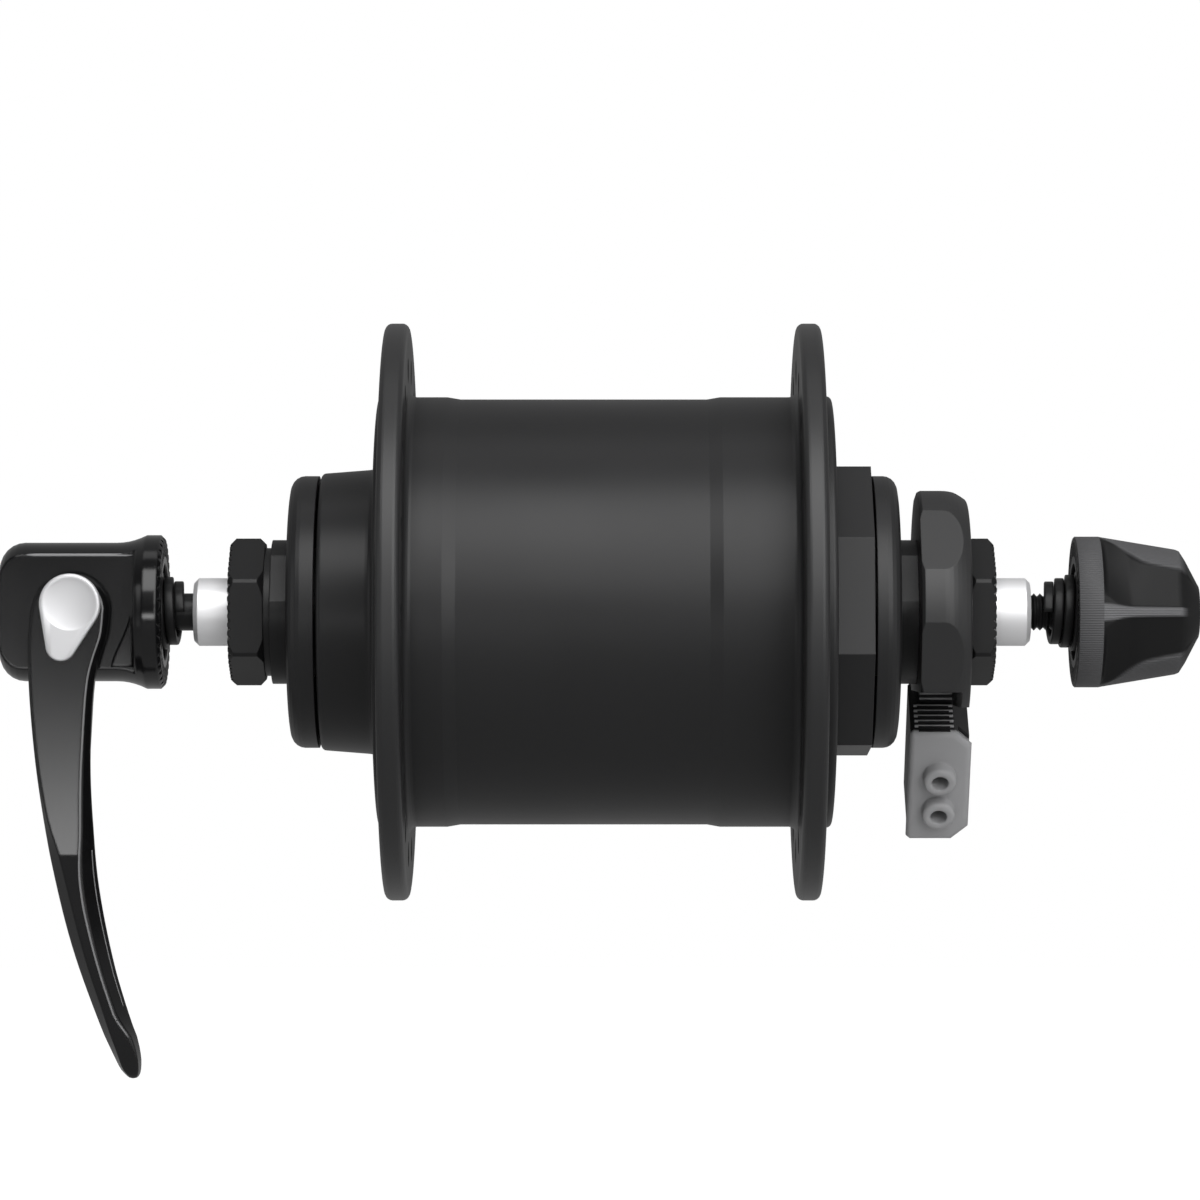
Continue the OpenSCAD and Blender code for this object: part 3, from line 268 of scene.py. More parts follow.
def tinted(tree, factor, dark, light):
    """A colour between two, led by a factor socket."""
    mix = tree.nodes.new("ShaderNodeMix")
    mix.data_type = "RGBA"
    mix.inputs["A"].default_value = (*dark, 1.0)
    mix.inputs["B"].default_value = (*light, 1.0)
    tree.links.new(factor, mix.inputs["Factor"])
    return mix.outputs["Result"]


def ranged(tree, value, low, high):
    """A 0 to 1 value spread from low to high."""
    node = tree.nodes.new("ShaderNodeMapRange")
    node.inputs["From Min"].default_value = 0.3
    node.inputs["From Max"].default_value = 0.7
    node.inputs["To Min"].default_value = low
    node.inputs["To Max"].default_value = high
    tree.links.new(value, node.inputs["Value"])
    return node.outputs["Result"]


def bumped(tree, shader, height, depth, edge):
    """A bump of the given depth in metres on the shader, over softened edges."""
    bump = tree.nodes.new("ShaderNodeBump")
    bump.inputs["Strength"].default_value = 1.0
    bump.inputs["Distance"].default_value = depth
    tree.links.new(height, bump.inputs["Height"])
    if edge:
        soft = tree.nodes.new("ShaderNodeBevel")
        soft.samples = 6
        soft.inputs["Radius"].default_value = edge
        tree.links.new(soft.outputs["Normal"], bump.inputs["Normal"])
    tree.links.new(bump.outputs["Normal"], shader.inputs["Normal"])


def surface(name, group, setting, colour, spread, roughness, depth, metallic=0.0, specular=0.25, edge=0.0002):
    """A finish whose tone, roughness and bump come from one of the groups."""
    material, tree, shader = blank_material(name)
    detail = tree.nodes.new("ShaderNodeGroup")
    detail.node_tree = group
    detail.inputs[0].default_value = setting
    dark = tuple(c * (1.0 - spread) for c in colour)
    light = tuple(min(1.0, c * (1.0 + spread)) for c in colour)
    tree.links.new(tinted(tree, detail.outputs["Tone"], dark, light), shader.inputs["Base Color"])
    tree.links.new(ranged(tree, detail.outputs["Tone"], *roughness), shader.inputs["Roughness"])
    bumped(tree, shader, detail.outputs["Height"], depth, edge)
    shader.inputs["Metallic"].default_value = metallic
    shader.inputs["Specular IOR Level"].default_value = specular
    return material


def dress(material, *names):
    """Gives CAD nodes their finish."""
    for name in names:
        mesh = NODES[name].data
        mesh.materials.clear()
        mesh.materials.append(material)


def eased(low, high, value):
    """0 below low, 1 above high and a smooth rise between."""
    share = min(1.0, max(0.0, (value - low) / (high - low)))
    return share * share * (3.0 - 2.0 * share)


def read_table(table, place):
    """A smooth value at a place between given stations."""
    last = len(table) - 1
    if place <= table[0][0]:
        return table[0][1]
    if place >= table[last][0]:
        return table[last][1]
    index = next(k for k in range(last) if place <= table[k + 1][0])
    (a, first), (b, second) = table[index], table[index + 1]
    before = table[max(0, index - 1)]
    after = table[min(last, index + 2)]
    span = b - a
    t = (place - a) / span
    start = span * (second - before[1]) / (b - before[0])
    stop = span * (after[1] - first) / (after[0] - a)
    return (first * (2 * t - 3) * t * t + first + start * (t - 1) ** 2 * t
            + second * (3 - 2 * t) * t * t + stop * (t - 1) * t * t)


def closed_ring(mesh, points):
    """A closed ring of edges through the given points."""
    made = bmesh.ops.create_circle(mesh, cap_ends=False, segments=len(points), radius=1.0)
    for vert, point in zip(made["verts"], points):
        vert.co = point
    return list({edge for vert in made["verts"] for edge in vert.link_edges})


def circle(mesh, x, z, r, y, count):
    """A ring of points about an axis along Y."""
    turns = [math.tau * k / count for k in range(count)]
    return closed_ring(mesh, [Vector((x + r * math.cos(a), y, z + r * math.sin(a))) for a in turns])


def rounded(mesh, edges, offset, segments):
    """Rounds edges evenly."""
    bmesh.ops.bevel(mesh, geom=edges, offset=offset, offset_type="OFFSET", segments=segments, profile=0.5,
                    affect="EDGES", clamp_overlap=True, material=-1)


def loft(mesh, rings, ends=(0, -1)):
    """Joins rings of edges in order, closes the named ends and returns the edges along the loft."""
    long_edges = []
    for first, second in zip(rings, rings[1:]):
        ringed = set(first) | set(second)
        made = bmesh.ops.bridge_loops(mesh, edges=first + second)
        long_edges += [e for face in made["faces"] for e in face.edges if e not in ringed]
    for end in ends:
        bmesh.ops.edgeloop_fill(mesh, edges=rings[end])
    return list(set(long_edges))


def finished_piece(context, mesh, name, body, slot, material, *nodes):
    """Makes the mesh a piece that moves with a body and stands for the CAD nodes named, if any."""
    bmesh.ops.remove_doubles(mesh, verts=mesh.verts, dist=1e-7)
    bmesh.ops.recalc_face_normals(mesh, faces=mesh.faces)
    for face in mesh.faces:
        face.smooth = True
    data = bpy.data.meshes.new(name)
    mesh.to_mesh(data)
    mesh.free()
    data.materials.append(bpy.data.materials[material])
    piece = bpy.data.objects.new(name, data)
    context.collection.objects.link(piece)
    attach(piece, body)
    if nodes:
        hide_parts(*nodes)
    return piece


def crisp_edges(mesh, least):
    """Marks the edges that turn by more than an angle as sharp."""
    for edge in mesh.edges:
        edge.smooth = edge.calc_face_angle(0.0) < least


def round_from(vert, level):
    """How far round a boss, from its right, a point of the plate lies."""
    return math.atan2(abs(vert.co.z - level), vert.co.x - BOSS_X)


def even_shading(piece):
    """Keeps broad faces flat beside their rounded edges."""
    shading = piece.modifiers.new("Even shading", "WEIGHTED_NORMAL")
    shading.keep_sharp = True


class HUB_OT_stage(bpy.types.Operator):
    """Camera at the photograph's view, soft lamps and a pale floor."""

    bl_idname = "hub.stage"
    bl_label = "Stage"

    def execute(self, context):
        """Builds the studio."""
        settings = context.scene.hub_stage
        context.scene.view_settings.view_transform = "Standard"
        camera = bpy.data.cameras.new("Camera")
        camera.lens = settings.lens
        camera.sensor_width = 36.0
        camera.shift_x = -0.01
        camera.shift_y = 0.01
        camera.clip_start = 0.01
        seat = bpy.data.objects.new("Camera", camera)
        seat.location = (0.0, -settings.camera_distance, 0.0)
        seat.rotation_euler = (math.pi / 2, 0.0, 0.0)
        context.collection.objects.link(seat)
        context.scene.camera = seat
        self.add_lamp(context, "Key lamp", (0.1, -0.7, 0.85), 1.0, 0.7, settings.key_power)
        self.add_lamp(context, "Left strip", (-0.95, -0.45, 0.1), 0.3, 1.0, settings.side_power)
        self.add_lamp(context, "Right strip", (0.95, -0.45, 0.15), 0.3, 1.0, settings.side_power)
        self.add_lamp(context, "Front lamp", (0.35, -1.05, 0.42), 0.9, 0.45, settings.front_power)
        self.add_lamp(context, "Lever lamp", (-0.18, -1.0, -0.11), 0.16, 0.12, settings.lever_power)
        self.add_lamp(context, "Low lamp", (0.45, -1.0, -0.02), 0.3, 0.3, settings.low_power)
        self.add_lamp(context, "Top lamp", (0.0, 0.1, 1.1), 1.0, 0.3, settings.top_power)
        self.add_floor(context, settings)
        self.add_world(context, settings)
        return {"FINISHED"}

    def add_lamp(self, context, name, place, width, height, power):
        """A soft area lamp that looks at the hub."""
        lamp = bpy.data.lights.new(name, "AREA")
        lamp.shape = "RECTANGLE"
        lamp.size = width
        lamp.size_y = height
        lamp.energy = power
        holder = bpy.data.objects.new(name, lamp)
        holder.location = place
        holder.rotation_euler = Vector(place).to_track_quat("Z", "Y").to_euler()
        context.collection.objects.link(holder)

    def shown_white(self, tree, depth, front, back):
        """1 for rays that see the background, and for mirrored rays where they meet it behind the hub."""
        path = tree.nodes.new("ShaderNodeLightPath")
        behind = tree.nodes.new("ShaderNodeMapRange")
        behind.inputs["From Min"].default_value = front
        behind.inputs["From Max"].default_value = back
        behind.inputs["To Min"].default_value = 0.08
        behind.inputs["To Max"].default_value = 0.28
        tree.links.new(depth, behind.inputs["Value"])
        mirrored = math_node(tree, "MULTIPLY", path.outputs["Is Glossy Ray"], behind.outputs["Result"])
        seen = math_node(tree, "MAXIMUM", path.outputs["Is Camera Ray"], path.outputs["Is Transmission Ray"])
        lit = math_node(tree, "MAXIMUM", seen, path.outputs["Is Glossy Ray"])
        return math_node(tree, "MAXIMUM", seen, mirrored), math_node(tree, "SUBTRACT", 1.0, lit)

    def add_floor(self, context, settings):
        """A wide pale floor that shows white and keeps the shadow."""
        mesh = bmesh.new()
        bmesh.ops.create_grid(mesh, x_segments=2, y_segments=2, size=4.0)
        bmesh.ops.translate(mesh, verts=mesh.verts, vec=(0.0, 0.0, settings.floor_level))
        data = bpy.data.meshes.new("Floor")
        mesh.to_mesh(data)
        mesh.free()
        floor = bpy.data.objects.new("Floor", data)
        context.collection.objects.link(floor)
        material, tree, shader = blank_material("Pale floor")
        mirrored = tree.nodes.new("ShaderNodeLightPath").outputs["Is Glossy Ray"]
        grey = tinted(tree, mirrored, (0.5, 0.5, 0.5), (0.22, 0.22, 0.22))
        tree.links.new(grey, shader.inputs["Base Color"])
        shader.inputs["Roughness"].default_value = 1.0
        shader.inputs["Specular IOR Level"].default_value = 0.0
        shader.inputs["Emission Color"].default_value = (1.0, 1.0, 1.0, 1.0)
        white, _ = self.shown_white(tree, object_axes(tree)[1][1], -0.5, 0.2)
        tree.links.new(math_node(tree, "MULTIPLY", white, 0.9), shader.inputs["Emission Strength"])
        data.materials.append(material)

    def add_world(self, context, settings):
        """White where it is seen or mirrored from behind, a soft fill elsewhere."""
        world = bpy.data.worlds.new("Studio")
        world.use_nodes = True
        tree = world.node_tree
        way = tree.nodes.new("ShaderNodeTexCoord")
        split = tree.nodes.new("ShaderNodeSeparateXYZ")
        tree.links.new(way.outputs["Generated"], split.inputs[0])
        white, rest = self.shown_white(tree, split.outputs[1], -0.3, 0.3)
        fill = math_node(tree, "MULTIPLY", rest, settings.fill)
        light = tree.nodes["Background"]
        light.inputs["Color"].default_value = (1.0, 1.0, 1.0, 1.0)
        tree.links.new(math_node(tree, "ADD", white, fill), light.inputs["Strength"])
        context.scene.world = world


class HUB_OT_finishes(bpy.types.Operator):
    """Gives every carried-over node its finish."""

    bl_idname = "hub.finishes"
    bl_label = "Finishes"

    def execute(self, context):
        """Builds the finishes and assigns them."""
        paint = context.scene.hub_finish
        rings = turned_lines_group()
        grain = moulded_grain_group()
        lines = grip_lines_group()
        dress(self.shell_paint(grain, paint), "hub_shell", "left_dust_cover")
        dress(surface("Cap paint", grain, 3000.0, paint.shell_black, 0.12, (0.4, 0.46), 1.5e-6,
                      specular=0.32),
              "right_end_cap", "right_dust_cover")
        dress(surface("Gloss paint", grain, 300.0, paint.gloss_black, 0.2, (0.12, 0.16), 5e-7,
                      specular=0.36, edge=0.0005),
              "lever_housing", "lever")
        dress(surface("Black steel", rings, 9000.0, paint.steel_black, 0.3, (0.34, 0.45), 2e-6),
              "left_lock_nut", "right_lock_nut", "left_washer", "left_cone", "right_cone", "nut_insert")
        dress(surface("Spring steel", rings, 9000.0, (0.005, 0.005, 0.0052), 0.3, (0.3, 0.4), 2e-6,
                      specular=0.2),
              "skewer_rod", "left_spring", "right_spring")
        dress(surface("Axle steel", rings, 5000.0, paint.bright_steel, 0.04, (0.4, 0.48), 1e-6, metallic=0.6),
              "axle", "left_stator_nut", "right_stator_nut")
        dress(surface("Cam plating", grain, 600.0, paint.cam_silver, 0.04, (0.45, 0.52), 1e-6, metallic=0.65),
              "cam_shaft", "left_balls", "right_balls", "left_bearing_cup", "right_bearing_cup")
        dress(surface("Black plastic", grain, 1800.0, paint.plastic_black, 0.2, (0.42, 0.52), 6e-6),
              "connector_cover", "left_seal", "right_seal", "cap_o_ring")
        dress(surface("Ring plastic", grain, 1800.0, paint.plastic_black, 0.2, (0.4, 0.48), 6e-6,
                      specular=0.42),
              "terminal_ring")
        # Light grey for thin lines along lever and housing edges: painted highlight
        surface("Edge highlight paint", grain, 300.0, (0.16, 0.16, 0.163), 0.1, (0.3, 0.36), 5e-7)
        # Light grey for the crests of the connector's ribs and root steps: painted highlight
        surface("Crest highlight plastic", grain, 1800.0, (0.3, 0.3, 0.305), 0.15, (0.45, 0.55), 4e-6)
        dress(self.grip_plastic(grain, lines, paint), "adjusting_nut")
        dress(surface("Grey plastic", grain, 1800.0, paint.cap_grey, 0.06, (0.45, 0.55), 5e-6, edge=0.0004),
              "connector_cap")
        dress(surface("Stamped steel", grain, 900.0, (0.33, 0.34, 0.36), 0.15, (0.3, 0.45), 6e-6,
                      metallic=1.0),
              "stator_core", "left_claw_pole", "right_claw_pole", "rotor_yoke", "rotor_magnets")
        dress(surface("Enamelled copper", rings, 2600.0, (0.62, 0.26, 0.09), 0.2, (0.25, 0.4), 6e-5,
                      metallic=1.0),
              "coil_winding")
        dress(surface("Natural plastic", grain, 1500.0, (0.62, 0.57, 0.44), 0.08, (0.4, 0.5), 5e-6),
              "coil_bobbin", "left_ball_cage", "right_ball_cage")
        dress(surface("Red insulation", grain, 1500.0, (0.36, 0.02, 0.015), 0.1, (0.4, 0.5), 5e-6),
              "coil_lead")
        dress(surface("Contact brass", grain, 900.0, (0.72, 0.5, 0.18), 0.1, (0.2, 0.35), 3e-6,
                      metallic=1.0),
              "terminal_contacts")
        return {"FINISHED"}

    def shell_paint(self, grain, paint):
        """Satin paint with a thicker, duller coat round the flange rims."""
        material = surface("Hub paint", grain, 3000.0, paint.shell_black, 0.12, (0.36, 0.42), 1.5e-6)
        tree = material.node_tree
        shader = tree.nodes["Principled BSDF"]
        axes = object_axes(tree)[1]
        across = math_node(tree, "MULTIPLY", axes[1], axes[1])
        upward = math_node(tree, "MULTIPLY", axes[2], axes[2])
        rim = tree.nodes.new("ShaderNodeMapRange")
        rim.inputs["From Min"].default_value = RIM_RADII[0]
        rim.inputs["From Max"].default_value = RIM_RADII[1]
        rim.inputs["To Max"].default_value = 0.36
        tree.links.new(math_node(tree, "SQRT", math_node(tree, "ADD", across, upward)), rim.inputs["Value"])
        tree.links.new(rim.outputs["Result"], shader.inputs["Coat Weight"])
        shader.inputs["Coat Roughness"].default_value = 0.5
        return material

    def grip_plastic(self, grain, lines, paint):
        """Black plastic with fine lines on the collar, rib and pads. Its base colour is lighter there as a
        painted highlight and darker on the scoops as painted shade.
        """
        material, tree, shader = blank_material("Grip plastic")
        fine = tree.nodes.new("ShaderNodeGroup")
        fine.node_tree = grain
        fine.inputs[0].default_value = 1800.0
        hatch = tree.nodes.new("ShaderNodeGroup")
        hatch.node_tree = lines
        hatch.inputs[0].default_value = 190.0
        grip_light_mask = tree.nodes.new("ShaderNodeAttribute")
        grip_light_mask.attribute_name = "grip_and_painted_light"
        raised = math_node(tree, "MULTIPLY", hatch.outputs["Height"], grip_light_mask.outputs["Fac"])
        grained = math_node(tree, "MULTIPLY", fine.outputs["Height"], 0.15)
        # Darker colour on the scoops is painted shade; lighter colour on rib, pads and collar is painted
        # highlight
        dark = tuple(c * 0.5 for c in paint.plastic_black)
        light = tuple(c * 7.0 for c in paint.plastic_black)
        tree.links.new(tinted(tree, grip_light_mask.outputs["Fac"], dark, light), shader.inputs["Base Color"])
        tree.links.new(ranged(tree, fine.outputs["Tone"], 0.4, 0.5), shader.inputs["Roughness"])
        bumped(tree, shader, math_node(tree, "ADD", raised, grained), 3e-5, 0.0)
        shader.inputs["Specular IOR Level"].default_value = 0.15
        return material


class HUB_OT_lever(bpy.types.Operator):
    """Quick release lever with its flat facet and swept paddle."""

    bl_idname = "hub.lever"
    bl_label = "Lever"

    def execute(self, context):
        """Lofts the lever from its eye to its tip."""
        mesh = bmesh.new()
        stations = [-5.02, -4.9, -4.6, -4.1, -3.3, -2.2, -1.0] + [k * 1.5 for k in range(39)]
        stations += [57.9, 58.6, 59.3, 59.9, 60.4, 60.75, 60.95, 61.0]
        rings = [closed_ring(mesh, self.section(s)) for s in stations]
        edges = loft(mesh, rings)
        rounded(mesh, edges, context.scene.hub_pieces.lever_edge, 3)
        for edge in mesh.edges:
            fold = all(abs(v.co.z + FOLD * MM) < 1e-5 and v.co.y < LEVER_FRONT + 0.0004 for v in edge.verts)
            edge.smooth = not fold
        piece = finished_piece(context, mesh, "lever_blade", "lever", "gloss_black", "Gloss paint", "lever")
        even_shading(piece)
        # Two thin light-grey strips along the lever's edges: painted highlight lines
        self.build_line(context, "lever_line", 1, (0.0, 0.5), (-5.0, 55.5))
        self.build_line(context, "flank_line", 2, (0.72, 0.78), (31.0, 51.5))
        return {"FINISHED"}

    def build_line(self, context, name, corner, share, reach):
        """A thin light-grey line on the slope that follows one corner of the section, a painted highlight."""
        mesh = bmesh.new()
        rings = []
        for k in range(LINE_STEPS + 1):
            spots = self.section(reach[0] + (reach[1] - reach[0]) * k / LINE_STEPS)
            first = spots[corner].lerp(spots[corner + 1], share[0])
            second = spots[corner].lerp(spots[corner + 1], share[1])
            out = (second - first).normalized().cross(Vector((0.0, 0.0, 1.0))) * MM
            raised, sunk = out * 0.03, out * 0.08
            rings.append(closed_ring(mesh, [first + raised, second + raised, second - sunk, first - sunk]))
        loft(mesh, rings)
        piece = finished_piece(context, mesh, name, "lever", "gloss_black", "Edge highlight paint")
        even_shading(piece)

    def section(self, s):
        """Points across the lever at a distance below its pivot, clockwise from its front left."""
        if s < 0:
            half = math.sqrt(EYE_R ** 2 - s * s)
            left, right = -half, half
        else:
            left = read_table(LEVER_LEFT, s)
            right = read_table(LEVER_RIGHT, s)
        width = right - left
        tip = math.sqrt(max(0.02, 1.0 - max(0.0, (s - TIP_START) / TIP_LENGTH) ** 2))
        paddle = eased(*PADDLE_RISE, s)
        past = max(0.0, s - FOLD)
        front = LEVER_FRONT / MM + 0.1 * past + 0.0012 * past * past
        rear = -5.3 + 7.8 * paddle
        middle = (front + rear) / 2
        front = middle + (front - middle) * (0.5 + 0.5 * tip)
        rear = middle + (rear - middle) * (0.5 + 0.5 * tip)
        back_right = right - 0.9 * paddle
        left_bevel = min(read_table(LEFT_BEVEL, s), width * 0.3)
        right_bevel = min(read_table(RIGHT_BEVEL, s), width * 0.45)
        left_drop = 0.3 + 1.7 * eased(18.0, 34.0, s)
        right_drop = 1.1 + 1.6 * eased(9.0, 36.0, s)
        back_cut = min(0.5 + 1.0 * paddle, width * 0.25)
        edge = min(0.5, right_bevel * 0.5)
        outline = ((left + left_bevel, front), (right - right_bevel, front),
                   (right - right_bevel + edge, front + 0.65 * edge * tip), (right, front + right_drop * tip),
                   (back_right, rear - back_cut), (back_right - back_cut, rear),
                   (left + back_cut, rear), (left, rear - back_cut), (left, front + left_drop * tip))
        return [Vector((PIVOT_X + x * MM, y * MM, -s * MM)) for x, y in outline]


class HUB_OT_cam_head(bpy.types.Operator):
    """Bright cam shaft with its drop shaped, dimpled head."""

    bl_idname = "hub.cam_head"
    bl_label = "Cam head"

    def execute(self, context):
        """Builds head, journals and eccentric."""
        mesh = bmesh.new()
        rim = context.scene.hub_pieces.head_rim / MM
        back = LEVER_FRONT / MM
        face = back - 0.7
        rings = [self.head_ring(mesh, 0.0, back), self.head_ring(mesh, 0.0, face + rim),
                 self.head_ring(mesh, rim * 0.3, face + rim * 0.3), self.head_ring(mesh, rim, face)]
        dimple = [(3.45, face), (DIMPLE_R, face + 0.03)]
        dimple += [(r, face + 0.05 + 0.3 * (1.0 - (r / DIMPLE_R) ** 2)) for r in (3.0, 2.5, 1.9, 1.2, 0.5)]
        rings += [circle(mesh, PIVOT_X, HEAD_RISE * MM, r * MM, y * MM, HEAD_STEPS) for r, y in dimple]
        loft(mesh, rings)
        # Journal, eccentric, journal: both ends, radius and offset from the pivot
        shafts = ((back, -3.98, 3.0, 0.0), (-3.98, 3.98, 2.0, -0.9), (3.98, 6.5, 3.0, 0.0))
        for low, high, r, offset in shafts:
            x = PIVOT_X + offset * MM
            loft(mesh, [circle(mesh, x, 0.0, r * MM, y * MM, ROUND_STEPS) for y in (low, high)])
        piece = finished_piece(context, mesh, "cam_head", "lever", "cam_silver", "Cam plating", "cam_shaft")
        even_shading(piece)
        return {"FINISHED"}

    def head_ring(self, mesh, inset, y):
        """The drop outline, drawn in by inset, at depth y."""
        big, small = 4.0 - inset, 2.0 - inset
        drop = Vector((-1.15, -5.4))
        points = []
        for k in range(HEAD_STEPS):
            angle = math.tau * k / HEAD_STEPS
            way = Vector((math.cos(angle), math.sin(angle)))
            spot = way * big if big >= drop.dot(way) + small else drop + way * small
            points.append(Vector((PIVOT_X + spot.x * MM, y * MM, (HEAD_RISE + spot.y) * MM)))
        return closed_ring(mesh, points)


class HUB_OT_housing(bpy.types.Operator):
    """Small edges on the lever housing: the light-grey bead above its flat, a painted highlight, and the step
    beside the lever eye.
    """

    bl_idname = "hub.housing"
    bl_label = "Housing edges"

    def execute(self, context):
        """Lays the bead along the flat's upper edge and the step at its lower right."""
        mesh = bmesh.new()
        stations = ((-76.6, 0.05), (-76.2, 0.6), (-75.4, 1.0), (-63.4, 1.0), (-62.7, 0.6), (-62.4, 0.05))
        loft(mesh, [closed_ring(mesh, self.bead_section(x, size)) for x, size in stations])
        # The bead is light grey: a painted highlight along the flat's upper edge
        piece = finished_piece(context, mesh, "housing_bead", "lever_housing", "gloss_black", "Edge highlight paint")
        even_shading(piece)
        mesh = bmesh.new()
        curve = ((-62.9, -0.4), (-63.1, -1.2), (-63.5, -2.3), (-64.1, -3.7), (-64.8, -5.2), (-65.2, -6.3),
                 (-65.4, -7.2))
        outline = curve + ((-62.4, -7.2), (-62.4, -0.4))
        rings = [closed_ring(mesh, [Vector((x, y, z)) * MM for x, z in outline]) for y in (-5.1, -5.5)]
        rim = list(rings[1])
        loft(mesh, rings)
        rounded(mesh, rim, 0.18 * MM, 3)
        piece = finished_piece(context, mesh, "housing_step", "lever_housing", "gloss_black", "Gloss paint")
        even_shading(piece)
        return {"FINISHED"}

    def bead_section(self, x, size):
        """A narrow slope over the edge between the flat and the round of the housing."""
        edge = Vector((0.0, *FLAT_EDGE))
        spots = ((-0.075, -0.165), (0.075, 0.165), (0.32, 0.12), (0.1, -0.25))
        return [(edge + Vector((0.0, y, z)) * size + Vector((x, 0.0, 0.0))) * MM for y, z in spots]


class HUB_OT_springs(bpy.types.Operator):
    """Both conical springs, wound from flattened wire."""

    bl_idname = "hub.springs"
    bl_label = "Springs"

    def execute(self, context):
        """Winds the left and the right spring."""
        self.wind(context, "left_spring", 3.5, 1.0)
        self.wind(context, "right_spring", 4.5, -1.0)
        return {"FINISHED"}

    def wind(self, context, node, turns, way):
        """One spring from its wide end to its narrow end, with closed ends."""
        wire = context.scene.hub_pieces.spring_wire
        low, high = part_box(node)
        start, stop = (low[0], high[0]) if way > 0 else (high[0], low[0])
        start += way * wire / 2
        stop -= way * wire / 2
        mesh = bmesh.new()
        steps = int(turns * SPRING_STEPS)
        rings = []
        for k in range(steps + 1):
            t = k / steps
            angle = math.tau * turns * t
            outward = Vector((0.0, math.cos(angle), math.sin(angle)))
            middle = Vector((start + (stop - start) * t, 0.0, 0.0))
            centre = middle + outward * (SPRING_WIDE - SPRING_TAPER * t) * MM
            rings.append(closed_ring(mesh, self.wire_section(centre, outward, wire)))
        loft(mesh, rings)
        finished_piece(context, mesh, node + "_coil", node, "rod_black", "Spring steel", node)

    def wire_section(self, centre, outward, wire):
        """Rounded square of flattened wire about a point of its path."""
        points = []
        for k in range(WIRE_POINTS):
            a = math.tau * (k + 0.5) / WIRE_POINTS
            across = math.copysign(abs(math.cos(a)) ** WIRE_POWER, math.cos(a)) * wire * 0.5
            along = math.copysign(abs(math.sin(a)) ** WIRE_POWER, math.sin(a)) * wire * 0.62
            points.append(centre + outward * across + Vector((along, 0.0, 0.0)))
        return points


class HUB_OT_adjusting_nut(bpy.types.Operator):
    """Adjusting nut with a lined collar, two ribs and two hatched pads between smooth scoops."""

    bl_idname = "hub.adjusting_nut"
    bl_label = "Adjusting nut"

    def execute(self, context):
        """Spins the profile and presses the scoops into it."""
        mesh = bmesh.new()
        inside = [(74.2, 0.0), (74.2, 2.5), (70.02, 2.5), (70.02, 7.32), (62.22, 7.32), (62.22, 9.22),
                  (60.6, 9.22)]
        outside = list(NUT_PROFILE[:3])
        outside += [(63.85 + 0.25 * k, self.profile(63.85 + 0.25 * k)) for k in range(43)]
        outside += [(75.1, self.profile(75.1)), (75.8, self.profile(75.8)), *NUT_PROFILE[-3:], (NUT_END, 0.0)]
        verts = [mesh.verts.new((x * MM, -r * MM, 0.0)) for x, r in inside + outside]
        edges = [mesh.edges.new(pair) for pair in zip(verts, verts[1:])]
        bmesh.ops.spin(mesh, geom=verts + edges, cent=(0.0, 0.0, 0.0), axis=(1.0, 0.0, 0.0),
                       angle=math.tau, steps=NUT_STEPS, use_merge=True)
        bmesh.ops.remove_doubles(mesh, verts=mesh.verts, dist=1e-7)
        # This layer leads the grip lines and the painted highlight on rib, pads and collar
        layer = mesh.verts.layers.float.new("grip_and_painted_light")
        step = context.scene.hub_pieces.scoop_step / MM
        for vert in mesh.verts:
            self.press(vert, layer, step)
        finished_piece(context, mesh, "nut_knob", "adjusting_nut", "black_plastic", "Grip plastic",
                       "adjusting_nut")
        return {"FINISHED"}

    def profile(self, x):
        """Radius of the nut's outline at a place along the axle."""
        low, high = next(pair for pair in zip(NUT_PROFILE, NUT_PROFILE[1:]) if x <= pair[1][0])
        return low[1] + (high[1] - low[1]) * (x - low[0]) / (high[0] - low[0])

    def press(self, vert, layer, step):
        """Moves one point of the outline inwards where a scoop is, and marks ribs, pads and collar for their
        grip lines and their painted highlight.
        """
        x = vert.co.x / MM
        r = math.hypot(vert.co.y, vert.co.z) / MM
        if x > NUT_END or x < 60.7 or r < 3.0 or r < self.profile(x) - 0.02:
            return
        if x < COLLAR_END:
            vert[layer] = 0.62
            return
        turn = abs(math.degrees(math.atan2(vert.co.z, -vert.co.y)))
        turn = min(turn, 180.0 - turn)
        rib = math.degrees(read_table(RIB_HALF, x) / r)
        pad = read_table(PAD_START, x)
        half = math.radians(pad - rib) / 2
        middle = math.radians(pad + rib) / 2
        flat = max((r - step) * math.cos(half), r - step - 1.0) / math.cos(math.radians(turn) - middle)
        on_rib = 1.0 - eased(rib, rib + 1.8, turn)
        on_pad = eased(pad - 2.5, pad, turn)
        kept = max(on_rib * (1.0 - eased(*RIB_FADE, x)), on_pad)
        depth = (r - min(r, flat)) * eased(*SCOOP_RISE, x) * (1.0 - eased(*SCOOP_FADE, x)) * (1.0 - kept)
        vert.co.y *= (r - depth) / r
        vert.co.z *= (r - depth) / r
        vert[layer] = max(on_rib, on_pad * 0.65) * (1.0 - eased(*GRIP_FADE, x))


